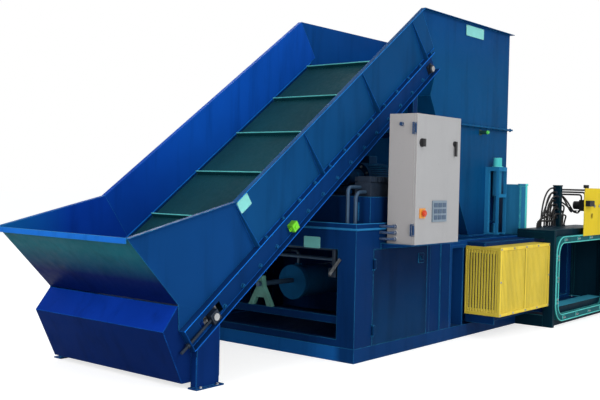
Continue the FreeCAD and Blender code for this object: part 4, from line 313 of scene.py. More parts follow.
# how each family is drawn; a noise is its scale, detail, roughness and stretch
looks = {
    "enamel": {
        "mottle": ((0.9, 3.0), 0.3, 0.7), "zoneMottle": ((1.3, 3.0), 0.3, 0.7),
        "streak": ((2.2, 5.0, 0.6, (3.2, 3.2, 0.35)), 0.50, 0.78),
        "wearAndHighlight": ((7.0, 6.0, 0.7), 0.36, 0.58), "leastWearAndHighlight": 0.4, "wearAndHighlightEdge": (0.03, 0.22),
        "dust": ((4.0, 6.0, 0.65), 0.35, 0.7), "leastDust": 0.02, "dustyTurn": (0.75, 0.97),
        "dustTone": (0.07, 0.10, 0.12), "specks": ((38.0, 3.0, 0.6), 0.66, 0.70),
        "patches": ((2.6, 3.0), 0.5, 0.7), "chipShare": 0.35, "chipShade": 0.4,
        "sheen": ((14.0, 5.0, 0.6), 0.3, 0.7), "sheenSpan": (0.08, 0.12),
        "dents": (1.6, 2.0), "dentDepth": 0.014, "grit": (420.0, 2.0), "relief": (0.05, 0.002),
    },
    "steel": {
        "cloud": (7.0, 5.0, 0.6), "shades": ((0.25, 0.62), (0.6, 1.0), (0.85, 1.15)),
        "lines": (4.0, 0.6), "lineLimits": (0.3, 0.7), "sheenSpan": (0.1, 0.14), "relief": (0.12, 0.002), "edge": 0.002,
    },
    "iron": {
        "cloud": (5.0, 6.0, 0.65), "shades": ((0.3, 0.6), (0.7, 1.3)), "edge": 0.004, "wearAndHighlightEdge": (0.05, 0.3),
        "wearAndHighlight": ((22.0, 5.0), 0.4, 0.6), "wearSpan": (0.1, 0.7), "wornTone": (2.0, 0.05), "metal": 0.1,
        "rough": 0.55, "sheen": ((30.0, 3.0), 0.3, 0.7), "sheenSpan": (0.1, 0.12),
        "grit": (260.0, 4.0, 0.7), "relief": (0.3, 0.003), "gloss": 0.25,
    },
    "plastic": {
        "cloud": (3.0, 4.0), "shades": ((0.3, 0.88), (0.7, 1.1)), "sheen": ((40.0, 4.0), 0.3, 0.7),
        "sheenSpan": (0.06, 0.1), "edge": 0.0015, "grit": (500.0, 2.0), "relief": (0.12, 0.001), "gloss": 0.3,
    },
    "rubber": {
        "cloud": (1.4, 5.0, 0.6), "shades": ((0.3, 0.75), (0.7, 1.3)),
        "scuff": ((6.0, 6.0, 0.7, (0.6, 4.0, 0.6)), 0.5, 0.75), "scuffShare": 0.4, "scuffTone": (0.012, 0.05, 0.062),
        "rough": 0.55, "sheen": ((24.0, 4.0), 0.3, 0.7), "sheenSpan": (0.0, 0.25),
        "ribs": 95.0, "relief": (0.45, 0.004), "gloss": 0.15,
    },
}


def enamel(name, colour, edge=paleEdge, rough=0.40, dust=0.10, vary=0.13, wave=0.30, edgeWidth=0.008, zones=(),
           gloss=0.018, glossTint=(0.25, 0.55, 1.0), wearAndHighlight=0.9, streaks=0.30):
    f, look = Finish(name), looks["enamel"]
    tone = f.mottled(look["mottle"], colour, vary)
    for other, *tests in zones:
        tone = f.blend(f.zone(tests), tone, f.mottled(look["zoneMottle"], other, vary))
    tone = f.blend(f.mark(look["streak"], 0.0, streaks), tone, (0.0, 0.0, 0.0))
    rounded = f.softEdge(edgeWidth)
    # edge wear and a painted highlight: a lighter colour mixed in along the rounded edges
    edgeWearAndHighlight = f.times(f.edgeShare(rounded, *look["wearAndHighlightEdge"]), f.mark(look["wearAndHighlight"], look["leastWearAndHighlight"] * wearAndHighlight, wearAndHighlight))
    tone = f.blend(edgeWearAndHighlight, tone, edge)
    dusty = f.times(f.facing(upWay, *look["dustyTurn"]), f.mark(look["dust"], look["leastDust"], dust))
    tone = f.blend(dusty, tone, look["dustTone"])
    chips = f.times(f.mark(look["specks"], 0.0, 1.0), f.mark(look["patches"], 0.0, look["chipShare"]))
    tone = f.blend(chips, tone, shade(colour, look["chipShade"]))
    dents = f.bump(f.noise(*look["dents"]), wave, look["dentDepth"], rounded)
    f.shader.inputs["Specular Tint"].default_value = (*glossTint, 1.0)
    return f.close(tone, f.sheen(look, rough), f.bump(f.noise(*look["grit"]), *look["relief"], dents), gloss)


def bareSteel(name, colour, rough=0.36, metal=1.0, grain=60.0):
    f, look = Finish(name), looks["steel"]
    lines = f.noise(grain, *look["lines"])
    below, above = look["sheenSpan"]
    roughness = f.span(lines, *look["lineLimits"], rough - below, rough + above)
    f.shader.inputs["Metallic"].default_value = metal
    return f.close(f.cloudy(look, colour), roughness, f.bump(lines, *look["relief"], f.softEdge(look["edge"])))


def castIron(name, colour):
    f, look = Finish(name), looks["iron"]
    rounded = f.softEdge(look["edge"])
    # lighter along the edges: edge wear and a painted highlight
    edgeWearAndHighlight = f.times(f.edgeShare(rounded, *look["wearAndHighlightEdge"]), f.mark(look["wearAndHighlight"], *look["wearSpan"]))
    gain, lift = look["wornTone"]
    tone = f.blend(edgeWearAndHighlight, f.cloudy(look, colour), tuple(min(1.0, c * gain + lift) for c in colour))
    f.shader.inputs["Metallic"].default_value = look["metal"]
    grit = f.bump(f.noise(*look["grit"]), *look["relief"], rounded)
    return f.close(tone, f.sheen(look, look["rough"]), grit, look["gloss"])


def moulded(name, colour, rough=0.42, zones=()):
    f, look = Finish(name), looks["plastic"]
    tone = f.cloudy(look, colour)
    for other, *tests in zones:
        tone = f.blend(f.zone(tests), tone, other)
    grit = f.bump(f.noise(*look["grit"]), *look["relief"], f.softEdge(look["edge"]))
    return f.close(tone, f.sheen(look, rough), grit, look["gloss"])


def wovenRubber(name, colour):
    f, look = Finish(name), looks["rubber"]
    tone = f.blend(f.mark(look["scuff"], 0.0, look["scuffShare"]), f.cloudy(look, colour), look["scuffTone"])
    ribs = f.add("ShaderNodeTexVoronoi", feature="SMOOTH_F1")
    ribs.inputs["Scale"].default_value = look["ribs"]
    f.link(f.coord.outputs["Object"], ribs.inputs["Vector"])
    weave = f.bump(ribs.outputs["Distance"], *look["relief"])
    return f.close(tone, f.sheen(look, look["rough"]), weave, look["gloss"])


# directions that a zone's test can use, and the conveyor's slope
slope = math.radians(35.5)
slopeWay = (math.cos(slope), 0.0, math.sin(slope))
riseWay = (-slopeWay[2], 0.0, slopeWay[0])
downSlope = (-slopeWay[0], 0.0, -slopeWay[2])
frontWay, backWay = (0.0, -1.0, 0.0), (0.0, 1.0, 0.0)
leftWay, rightWay = (-1.0, 0.0, 0.0), (1.0, 0.0, 0.0)
upWay, downWay = (0.0, 0.0, 1.0), (0.0, 0.0, -1.0)
farPart = ("along", backWay, -1.1, -1.0)

# colours are linear; a zone is its colour and then the tests that it has to pass
enamels = {
    "navyEnamel": {"colour": (0.0028, 0.025, 0.105), "edgeWidth": 0.011},
    "bayEnamel": {"colour": (0.0028, 0.025, 0.105), "edgeWidth": 0.011, "zones": (
        # the two bright bands are painted highlights along the deck plate's edge and the ledge above it
        ((0.020, 0.170, 0.420), ("band", upWay, 1.198, 1.214)),
        ((0.020, 0.170, 0.420), ("band", upWay, 1.256, 1.276)))},
    "skidEnamel": {"colour": (0.0037, 0.036, 0.140), "dust": 0.2, "zones": (
        # its far part is painted brighter: painted light lifting the shade there
        ((0.0090, 0.110, 0.380), ("along", backWay, -1.88, -1.80)),)},
    "panelNavy": {"colour": (0.0028, 0.018, 0.068), "zones": (
        # lighter towards the bottom: painted light
        ((0.0032, 0.031, 0.100), ("along", downWay, -0.8, -0.3)),)},
    # brighter than navyEnamel: painted light on the charge box's shaded near side
    "boxEnamel": {"colour": (0.0042, 0.044, 0.180), "edgeWidth": 0.010},
    "cylinderBlue": {"colour": (0.0140, 0.160, 0.400)},
    # brighter than the body's blue: painted light on the tower, which stands in shade
    "towerEnamel": {"colour": (0.020, 0.190, 0.400)},
    "frameEnamel": {"colour": (0.0036, 0.033, 0.140), "edge": brightEdge, "edgeWidth": 0.010, "zones": (
        # the two bright bands are painted highlights along the side frame's flanges, on faces turned to the front
        ((0.010, 0.200, 0.780), ("band", riseWay, 2.1955, 2.212), ("facing", frontWay, 0.5, 0.9)),
        ((0.008, 0.120, 0.600), ("band", riseWay, 1.985, 2.0045), ("facing", frontWay, 0.5, 0.9)))},
    # a brighter blue than the near skirt: painted light on the far skirt's inner face; darker towards the low end
    "farSkirtBlue": {"colour": (0.0050, 0.088, 0.500), "edge": brightEdge, "edgeWidth": 0.010, "zones": (
        ((0.0032, 0.050, 0.350), ("along", downSlope, -0.1, 0.9)),)},
    "flareBlue": {"colour": (0.0050, 0.053, 0.200), "edgeWidth": 0.012, "zones": (
        # the far walls painted brighter: painted light
        ((0.0030, 0.043, 0.350), farPart),
        ((0.0060, 0.115, 0.370), farPart, ("along", leftWay, 2.95, 3.6)),
        # left-facing faces teal: painted light from the floor
        ((0.0070, 0.105, 0.140), ("facing", leftWay, 0.35, 0.6)),
        # painted shadow on the lower part of the left-facing faces
        ((0.0010, 0.008, 0.075), ("facing", leftWay, 0.35, 0.6), ("along", downWay, -1.06, -0.84)),
        # painted highlight along the lip
        ((0.0110, 0.130, 0.520), ("facing", leftWay, 0.85, 0.95), ("along", upWay, 1.11, 1.13)))},
    "nearSkirtBlue": {"colour": (0.0050, 0.060, 0.185), "edge": brightEdge, "edgeWidth": 0.011, "zones": (
        ((0.0055, 0.062, 0.190), ("along", downSlope, -0.6, 1.2)),
        # painted highlight along the skirt's top edge, on faces turned to the front
        ((0.018, 0.240, 0.700), ("band", riseWay, 2.664, 2.685), ("facing", frontWay, 0.5, 0.9)))},
    "hopperBlue": {"colour": (0.0030, 0.070, 0.205), "zones": (
        # its far part painted brighter: painted light
        ((0.0045, 0.075, 0.360), ("along", backWay, -0.1, 0.0)),
        ((0.0032, 0.055, 0.200), ("along", upWay, 2.9, 3.5), ("along", frontWay, 0.9, 1.0)))},
    "lowerHopperBlue": {"colour": (0.0034, 0.068, 0.195), "zones": (
        # darker towards the bottom: painted shade
        ((0.0030, 0.035, 0.130), ("along", downWay, -1.5, -1.05)),)},
    "bootNavy": {"colour": (0.0018, 0.0150, 0.100), "edge": brightEdge, "edgeWidth": 0.013, "gloss": 0.008, "zones": (
        # front faces and upward faces in their own shades: painted light, brightest on top
        ((0.0030, 0.018, 0.105), ("facing", frontWay, 0.5, 0.9)),
        ((0.0030, 0.030, 0.270), ("facing", upWay, 0.2, 0.4)))},
    "legNavy": {"colour": (0.0032, 0.024, 0.132)},
    "guardYellow": {"colour": (0.88, 0.66, 0.075), **yellowCoat, "zones": (
        # darker on left-facing faces: painted shade
        ((0.62, 0.48, 0.055), ("facing", leftWay, 0.5, 0.9)),)},
    "tieYellow": {"colour": (0.90, 0.66, 0.030), **yellowCoat},
    # painted highlight teal for the wire track's rims
    "rimTeal": {"colour": (0.130, 0.700, 0.660), "edge": (0.30, 0.85, 0.80)},
    # its bright teal edges are a painted highlight, partly edge wear
    "trackTeal": {"colour": (0.0100, 0.115, 0.135), "edge": (0.14, 0.80, 0.75), "edgeWidth": 0.016, "wearAndHighlight": 1.0},
    "exitGreen": {"colour": (0.0030, 0.020, 0.036), "edge": (0.014, 0.110, 0.130), "edgeWidth": 0.010, "zones": (
        # its low upward faces painted bright: painted light on the exit floor
        ((0.060, 0.420, 0.600), ("facing", upWay, 0.5, 0.9), ("along", downWay, -0.6, -0.5)),)},
    "cabinetGrey": {"colour": (0.37, 0.37, 0.378), "edge": (0.60, 0.59, 0.58), "rough": 0.46, "dust": 0.2, "vary": 0.03,
                    "wave": 0.10, "gloss": 0.15, "streaks": 0.06, "glossTint": (1.0, 1.0, 1.0), "zones": (
        # darker on left-facing faces: painted shade
        ((0.33, 0.315, 0.31), ("facing", leftWay, 0.5, 0.9)),
        ((0.010, 0.040, 0.110), ("along", leftWay, 0.9075, 0.9080)))},
    "motorBlue": {"colour": (0.005, 0.034, 0.095)},
    "valveTeal": {"colour": (0.022, 0.180, 0.360), "edge": tealEdge, "edgeWidth": 0.012, "zones": (
        ((0.12, 0.74, 0.70), ("along", rightWay, 2.215, 2.23)),)},
    # its blue is lifted: painted light on the cylinder in its shaded slot
    "capCyan": {"colour": (0.030, 0.230, 0.420), "edge": (0.4, 0.9, 0.85), "zones": (
        ((0.10, 0.66, 0.64), ("along", upWay, 1.83, 1.845)),)},
    "cleatPaint": {"colour": (0.004, 0.040, 0.050), "edge": (0.20, 0.70, 0.66), "rough": 0.5, "wearAndHighlight": 1.0, "zones": (
        # painted highlight along the cleats' top edges
        ((0.160, 0.720, 0.680), ("band", riseWay, 2.230, 2.245)),)},
    "boltNavy": {"colour": (0.005, 0.060, 0.200), "edge": (0.03, 0.26, 0.50), "edgeWidth": 0.004, "wearAndHighlight": 1.0},
}
steels = {
    "brightSteel": {"colour": (0.42, 0.43, 0.44)},
    "hardChrome": {"colour": (0.74, 0.75, 0.77), "rough": 0.16, "grain": 25.0},
    "pipeSteel": {"colour": (0.040, 0.085, 0.150), "rough": 0.45, "metal": 0.5},
    "boltZinc": {"colour": (0.38, 0.40, 0.42), "rough": 0.3},
}
irons = {
    "darkIron": {"colour": (0.012, 0.022, 0.040)},
    "blackIron": {"colour": (0.010, 0.010, 0.012)},
    "paleGreenIron": {"colour": (0.10, 0.27, 0.23)},
}
plastics = {
    "hoseRubber": {"colour": (0.014, 0.013, 0.015), "rough": 0.5},
    "blackPlastic": {"colour": (0.018, 0.018, 0.020)},
    "keypadGrey": {"colour": (0.19, 0.25, 0.31), "zones": (
        ((0.055, 0.095, 0.16), ("along", frontWay, 2.3725, 2.3730)),)},
    "barePlate": {"colour": (0.22, 0.66, 0.62), "rough": 0.35},
    "signalAmber": {"colour": (0.75, 0.30, 0.04), "rough": 0.3},
    "signalRed": {"colour": (0.60, 0.06, 0.02), "rough": 0.25},
    "signalGreen": {"colour": (0.20, 0.72, 0.03), "rough": 0.3},
    "sensorBody": {"colour": (0.010, 0.05, 0.045), "rough": 0.4, "zones": (
        ((0.12, 0.66, 0.12), ("along", frontWay, 1.742, 1.746)),)},
}
rubbers = {"beltRubber": {"colour": (0.0030, 0.042, 0.057)}}

finishes = {}
families = ((enamel, enamels), (bareSteel, steels), (castIron, irons), (moulded, plastics), (wovenRubber, rubbers))
for make, family in families:
    for name, values in family.items():
        finishes[name] = make(name, **values)

wears = {
    "navyEnamel": ["bale_chamber", "main_ram", "ejector_platen", "door_tracks", "bale_door", "inspection_gate",
                   "conveyor_support", "oil_tank"],
    "legNavy": ["conveyor_legs"],
    "skidEnamel": ["skid_base"],
    "panelNavy": ["access_door"],
    "boxEnamel": ["charge_box"],
    "cylinderBlue": ["main_cylinder", "ejector_cylinder", "door_cylinder"],
    "bayEnamel": ["bay_frame"],
    "towerEnamel": ["gate_tower"],
    "frameEnamel": ["conveyor_frame"],
    "farSkirtBlue": ["skirt_far"],
    "flareBlue": ["receiving_hopper"],
    "nearSkirtBlue": ["skirt_near"],
    "hopperBlue": ["hopper_upper"],
    "lowerHopperBlue": ["hopper_lower"],
    "bootNavy": ["tail_box"],
    "guardYellow": ["guard_frame", "guard_mesh"],
    "tieYellow": ["tie_plates"],
    "trackTeal": ["wire_track"],
    "exitGreen": ["tier_frame"],
    "cabinetGrey": ["cabinet_box", "cabinet_door"],
    "motorBlue": ["gearmotor", "pump_motors"],
    "valveTeal": ["valve_box"],
    "capCyan": ["gate_cylinder"],
    "beltRubber": ["conveyor_belt"],
    "cleatPaint": ["belt_cleats"],
    "brightSteel": ["head_drum", "tail_drum", "valve_lever", "feed_wheel", "pinch_wheel"],
    "hardChrome": ["main_rod", "ejector_rod", "door_rod"],
    "pipeSteel": ["hydraulic_pipes"],
    "hoseRubber": ["tier_pipes"],
    "darkIron": ["shaft_bearings", "valve_block", "shutoff_valve"],
    "blackIron": ["tie_drive"],
    "paleGreenIron": ["pipe_bracket"],
    "boltNavy": ["seam_bolts"],
    "blackPlastic": ["door_handle", "disconnect_knob"],
    "keypadGrey": ["keypad"],
    "signalAmber": ["stop_plate"],
    "signalRed": ["stop_button"],
    "signalGreen": ["pull_switch"],
    "sensorBody": ["photo_eye"],
}

for finish, names in wears.items():
    for name in names:
        mesh = nodes[name].data
        mesh.materials.clear()
        mesh.materials.append(finishes[finish])
print("finishes on", sum(len(names) for names in wears.values()), "nodes")


class Recipe(Wiring):   # one Geometry Nodes tree; its sizes are inputs by name
    def __init__(self, name, *sizes):
        self.tree = bpy.data.node_groups.new(name, "GeometryNodeTree")
        face = self.tree.interface
        kinds = {"Geometry": "Geometry", **{label: "Float" for label in sizes}, "Seed": "Int", "Material": "Material"}
        for label, kind in kinds.items():
            face.new_socket(label, in_out="INPUT", socket_type="NodeSocket" + kind)
        face.new_socket("Geometry", in_out="OUTPUT", socket_type="NodeSocketGeometry")
        self.given = self.add("NodeGroupInput")
        self.result = self.add("NodeGroupOutput")
        self.sizes = [self.given.outputs[label] for label in sizes]

    def feed(self, node, **sources):   # named inputs, with _ for a space
        for key, source in sources.items():
            socket = node.inputs[key.replace("_", " ")]
            if isinstance(source, (int, float, tuple)):
                socket.default_value = source
            else:
                self.link(source, socket)
        return node

    def lifted(self, mesh, height):
        place = self.feed(self.add("ShaderNodeCombineXYZ"), Z=height)
        node = self.feed(self.add("GeometryNodeTransform"), Geometry=mesh, Translation=place.outputs["Vector"])
        return node.outputs["Geometry"]

    def cone(self, sides, low, high, depth):
        node = self.add("GeometryNodeMeshCone")
        return self.feed(node, Vertices=sides, Radius_Bottom=low, Radius_Top=high, Depth=depth).outputs["Mesh"]

    def join(self, parts):
        node = self.add("GeometryNodeJoinGeometry")
        for part in parts:
            self.link(part, node.inputs["Geometry"])
        return node.outputs["Geometry"]

    def line(self):
        node = self.add("GeometryNodeMeshToCurve")
        self.link(self.given.outputs["Geometry"], node.inputs[0])
        return node.outputs[0]

    def chance(self, low, high):
        node = self.add("FunctionNodeRandomValue", data_type="FLOAT")
        node.inputs[2].default_value = low
        node.inputs[3].default_value = high
        self.link(self.given.outputs["Seed"], node.inputs["Seed"])
        return node.outputs[1]

    def stood(self, way):   # the turn that lays Z along a direction
        node = self.add("FunctionNodeAlignRotationToVector", axis="Z")
        self.link(way, node.inputs["Vector"])
        return node.outputs[0]

    def spread(self, part, spin, least, most):
        # one part on each point, stood along the point's "facing", turned and sized a little by chance
        facing = self.add("GeometryNodeInputNamedAttribute", data_type="FLOAT_VECTOR")
        facing.inputs["Name"].default_value = "facing"
        euler = self.feed(self.add("ShaderNodeCombineXYZ"), Z=self.chance(0.0, spin))
        spun = self.add("FunctionNodeEulerToRotation")
        self.link(euler.outputs[0], spun.inputs[0])
        both = self.add("FunctionNodeRotateRotation", rotation_space="LOCAL")
        self.feed(both, Rotation=self.stood(facing.outputs[0]), Rotate_By=spun.outputs[0])
        place = self.feed(self.add("GeometryNodeInstanceOnPoints"), Points=self.given.outputs["Geometry"],
                          Instance=part, Rotation=both.outputs[0], Scale=self.chance(least, most))
        return place.outputs["Instances"]

    def close(self, instances):
        real = self.add("GeometryNodeRealizeInstances")
        self.link(instances, real.inputs[0])
        paint = self.add("GeometryNodeSetMaterial")
        self.feed(paint, Geometry=real.outputs[0], Material=self.given.outputs["Material"])
        self.link(paint.outputs[0], self.result.inputs[0])
        return self.tree


fullTurn = 6.28
growSeed = 11

# a hex screw: its sizes as shares of the width across flats, then the shares inside the tree
screwForm = {
    "Head Radius": 0.577, "Head Height": 0.42, "Washer Radius": 0.72, "Washer Height": 0.11, "Thread Radius": 0.32,
}
screwShares = {
    "washerSunk": -0.25, "washerTaper": 0.96, "headLift": 0.7, "domeTaper": 0.78, "domeHeight": 0.14,
    "threadTaper": 0.85, "threadHeight": 0.4, "least": 0.97, "most": 1.03, "washerSides": 24, "threadSides": 14,
}


def boltTree(v):
    r = Recipe("boltRows", *screwForm)
    head, high, washer, thin, thread = r.sizes
    lift = r.times(thin, v["headLift"])
    top = r.math("ADD", high, lift)
    disc = r.cone(v["washerSides"], washer, r.times(washer, v["washerTaper"]), thin)
    dome = r.cone(6, head, r.times(head, v["domeTaper"]), r.times(high, v["domeHeight"]))
    stub = r.cone(v["threadSides"], thread, r.times(thread, v["threadTaper"]), r.times(high, v["threadHeight"]))
    stack = [r.lifted(disc, r.times(thin, v["washerSunk"])), r.lifted(r.cone(6, head, head, high), lift),
             r.lifted(dome, top), r.lifted(stub, top)]
    return r.close(r.spread(r.join(stack), fullTurn, v["least"], v["most"]))


rivetShares = {"sides": 16, "shoulder": 0.92, "crown": 0.45, "split": 0.5, "least": 0.96, "most": 1.04}


def rivetTree(v):
    r = Recipe("rivetRows", "Head Radius", "Head Height")
    head, high = r.sizes
    shoulder, half = r.times(head, v["shoulder"]), r.times(high, v["split"])
    low = r.cone(v["sides"], head, shoulder, half)
    cap = r.lifted(r.cone(v["sides"], shoulder, r.times(head, v["crown"]), half), half)
    return r.close(r.spread(r.join([low, cap]), fullTurn, v["least"], v["most"]))


weldShares = {"flat": 0.7, "least": 0.85, "most": 1.15}


def weldTree(v):
    r = Recipe("weldBeads", "Bead Radius", "Bead Pitch")
    radius, pitch = r.sizes
    beadSpots = r.feed(r.add("GeometryNodeResampleCurve", mode="LENGTH"), Curve=r.line(), Length=pitch)
    ball = r.feed(r.add("GeometryNodeMeshIcoSphere"), Radius=radius, Subdivisions=1)
    bead = r.feed(r.add("GeometryNodeTransform"), Geometry=ball.outputs["Mesh"], Scale=(1.0, 1.0, v["flat"]))
    place = r.feed(r.add("GeometryNodeInstanceOnPoints"), Points=beadSpots.outputs[0], Instance=bead.outputs[0],
                   Rotation=r.stood(r.add("GeometryNodeInputTangent").outputs[0]),
                   Scale=r.chance(v["least"], v["most"]))
    return r.close(place.outputs["Instances"])


def finTree():
    r = Recipe("coolingFins", "Size X", "Size Y", "Size Z")
    size = r.feed(r.add("ShaderNodeCombineXYZ"), **dict(zip("XYZ", r.sizes)))
    fin = r.feed(r.add("GeometryNodeMeshCube"), Size=size.outputs[0])
    return r.close(r.spread(fin.outputs["Mesh"], 0.0, 1.0, 1.0))


hoseShares = {"sides": 10}


def hoseTree(v):
    r = Recipe("hoseRuns", "Hose Radius")
    ring = r.feed(r.add("GeometryNodeCurvePrimitiveCircle"), Resolution=v["sides"], Radius=r.sizes[0])
    tube = r.feed(r.add("GeometryNodeCurveToMesh"), Curve=r.line(), Profile_Curve=ring.outputs[0], Fill_Caps=True)
    smooth = r.feed(r.add("GeometryNodeSetShadeSmooth"), Geometry=tube.outputs[0])
    return r.close(smooth.outputs[0])


recipes = {"bolt": boltTree(screwShares), "rivet": rivetTree(rivetShares), "weld": weldTree(weldShares),
           "fin": finTree(), "hose": hoseTree(hoseShares)}


def socketName(tree, label):
    return next(item.identifier for item in tree.interface.items_tree
                if item.item_type == "SOCKET" and item.in_out == "INPUT" and item.name == label)


def setDown(name, data):   # every piece that this script adds stands still
    piece = bpy.data.objects.new(name, data)
    scene.collection.objects.link(piece)
    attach(piece, "frame")


def grow(name, mesh, kind, sizes, finish):
    # runs one recipe over a mesh of points or lines and keeps the plain result
    tree = recipes[kind]
    seedling = bpy.data.objects.new(name + "Seedling", mesh)
    scene.collection.objects.link(seedling)
    modifier = seedling.modifiers.new(kind, "NODES")
    modifier.node_group = tree
    for label, value in {**sizes, "Seed": growSeed, "Material": finishes[finish]}.items():
        modifier[socketName(tree, label)] = value
    ready = seedling.evaluated_get(bpy.context.evaluated_depsgraph_get())
    plain = bpy.data.meshes.new_from_object(ready)
    seedling.modifiers.remove(modifier)
    bpy.data.objects.remove(seedling)
    bpy.data.meshes.remove(mesh)
    plain.name = name
    setDown(name, plain)


def settle(name, shell, finish):   # a piece that was drawn face by face
    bmesh.ops.recalc_face_normals(shell, faces=shell.faces)
    data = bpy.data.meshes.new(name)
    shell.to_mesh(data)
    shell.free()
    data.materials.append(finishes[finish])
    setDown(name, data)


def pointMesh(name, spots):   # spots are (place, facing) pairs
    mesh = bpy.data.meshes.new(name + "Spots")
    mesh.from_pydata([place for place, facing in spots], [], [])
    way = mesh.attributes.new("facing", "FLOAT_VECTOR", "POINT")
    for item, (place, facing) in zip(way.data, spots):
        item.vector = facing
    return mesh


def lineMesh(name, runs, closed=False):   # a run is a list of points, joined in order
    points, edges = [], []
    for run in runs:
        first = len(points)
        points += run
        edges += [(i, i + 1) for i in range(first, len(points) - 1)]
        if closed:
            edges.append((len(points) - 1, first))
    mesh = bpy.data.meshes.new(name + "Lines")
    mesh.from_pydata(points, edges, [])
    return mesh


def screwRow(name, spots, flats, finish):   # hex screws by their width across flats, in metres
    sizes = {label: flats * share for label, share in screwForm.items()}
    grow(name, pointMesh(name, spots), "bolt", sizes, finish)


def steps(start, stop, pitch):
    count = max(1, round((stop - start) / pitch))
    return [start + (stop - start) * i / count for i in range(count + 1)]


near, far, tailward, headward, upward = (Vector(v) for v in ((0, -1, 0), (0, 1, 0), (-1, 0, 0), (1, 0, 0), (0, 0, 1)))
beltUp = Vector((-math.sin(slope), 0.0, math.cos(slope)))
tailDrum = {"x": -1440.18, "z": 546.0}


def onBelt(along, above, y):   # a place beside the conveyor, from the tail drum's centre
    return at(tailDrum["x"] + along * math.cos(slope) - above * math.sin(slope), y,
              tailDrum["z"] + along * math.sin(slope) + above * math.cos(slope))


# screws along the conveyor's side frames and skirts
conveyorScrews = {
    "nearFace": 372.0, "farFace": 2008.0,
    "frameFlats": 0.030, "frameStart": 160.0, "frameEnd": 3800.0, "framePitch": 260.0, "frameRows": (104.0, -36.0),
    "skirtFlats": 0.024, "skirtStart": 848.0, "skirtEnd": 4060.0, "skirtPitch": 268.25, "skirtInset": 32.0,
    "skirtRow": 140.0,
}


def screwConveyor(v):
    stations = steps(v["frameStart"], v["frameEnd"], v["framePitch"])
    spots = [(onBelt(s, above, face), way) for face, way in ((v["nearFace"], near), (v["farFace"], far))
             for above in v["frameRows"] for s in stations]
    screwRow("frameScrews", spots, v["frameFlats"], "boltNavy")
    stations = steps(v["skirtStart"], v["skirtEnd"], v["skirtPitch"])
    faces = (v["nearFace"] - v["skirtInset"], v["farFace"] + v["skirtInset"])
    spots = [(onBelt(s, v["skirtRow"], face), beltUp) for face in faces for s in stations]
    screwRow("skirtScrews", spots, v["skirtFlats"], "boltNavy")


screwConveyor(conveyorScrews)
print("conveyor screws placed")


# screws round the body, its cylinders, the guard and the exit
bodyScrews = {
    "cylinderFlats": 0.046, "cylinderCount": 12, "mainEnd": (1670.0, 1190.0, 590.0), "mainCircle": 188.0,
    "ejectorEnd": (4220.0, 2450.0, 590.0), "ejectorCircle": 137.0,
    "footFlats": 0.020, "footXs": (-1620.18, -1435.18), "footYs": (297.0, 2083.0), "footTop": 12.0,
    "guardFlats": 0.016, "guardPitch": 300.0, "guardInset": 17.0, "guardFace": -410.0,
    "guardLeft": 2030.0, "guardRight": 3270.0, "guardBottom": 250.0, "guardTop": 976.0,
    "clipFlats": 0.016, "clipLength": 70.0, "clipWidth": 36.0, "clipInset": 15.0, "clipFace": -478.0,
    "sideXs": (3347.0, 4922.0), "sideZs": (265.0, 515.0, 765.0),
    "rowZs": (77.0, 987.0), "rowStart": 3535.0, "rowReach": 1165.0, "rowGaps": 3,
}


def ringOfScrews(middle, axis, side, radius, count):   # round an axis, from a first side direction
    other = axis.cross(side)
    spots = []
    for i in range(count):
        turn = 2 * math.pi * (i + 0.5) / count
        spots.append((middle + (side * math.cos(turn) + other * math.sin(turn)) * radius / 1000, axis))
    return spots


def screwBody(v):
    spots = ringOfScrews(at(*v["mainEnd"]), tailward, near, v["mainCircle"], v["cylinderCount"])
    screwRow("mainCylinderScrews", spots, v["cylinderFlats"], "boltNavy")
    spots = ringOfScrews(at(*v["ejectorEnd"]), far, headward, v["ejectorCircle"], v["cylinderCount"])
    screwRow("ejectorScrews", spots, v["cylinderFlats"], "boltNavy")
    spots = [(at(x, y, v["footTop"]), upward) for x in v["footXs"] for y in v["footYs"]]
    screwRow("footAnchors", spots, v["footFlats"], "boltZinc")
    inset, face = v["guardInset"], v["guardFace"]
    xs = (v["guardLeft"] + inset, v["guardRight"] - inset)
    zs = (v["guardBottom"] + inset, v["guardTop"] - inset)
    spots = [(at(x, face, z), near) for x in steps(*xs, v["guardPitch"]) for z in zs]
    spots += [(at(x, face, z), near) for z in steps(*zs, v["guardPitch"])[1:-1] for x in xs]
    screwRow("guardScrews", spots, v["guardFlats"], "boltZinc")
    half, face = v["clipWidth"] / 2, v["clipFace"]
    ends = (v["clipInset"], v["clipLength"] - v["clipInset"])
    spots = [(at(x + half, face, z + d), near) for z in v["sideZs"] for x in v["sideXs"] for d in ends]
    for i in range(v["rowGaps"] + 1):
        x = v["rowStart"] + i * v["rowReach"] / v["rowGaps"]
        spots += [(at(x + d, face, z + half), near) for z in v["rowZs"] for d in ends]
    screwRow("clipScrews", spots, v["clipFlats"], "boltZinc")


screwBody(bodyScrews)
print("body screws placed")


# cooling fins and flange screws of the pump motors and the drive
motorDress = {
    "motorX": 1235.0, "motorYs": (710.0, 1230.0), "motorZ": 1680.0, "motorRadius": 149.0,
    "finCount": 40, "finLength": 0.380, "finHeight": 0.026, "finThickness": 0.005,
    "clearTurn": 34.0,    # degrees to each side of up and down, free for the terminal box and the foot
    "flangeX": 1000.0, "flangeCircle": 118.0, "flangeCount": 8, "flangeFlats": 0.022,
    "driveAlong": 3730.0, "driveY": 2437.0, "driveRadius": 91.0, "driveLength": 0.330, "driveFins": 26,
    "driveClear": 0.7,    # no fins nearer to the belt's upward direction than this cosine
}


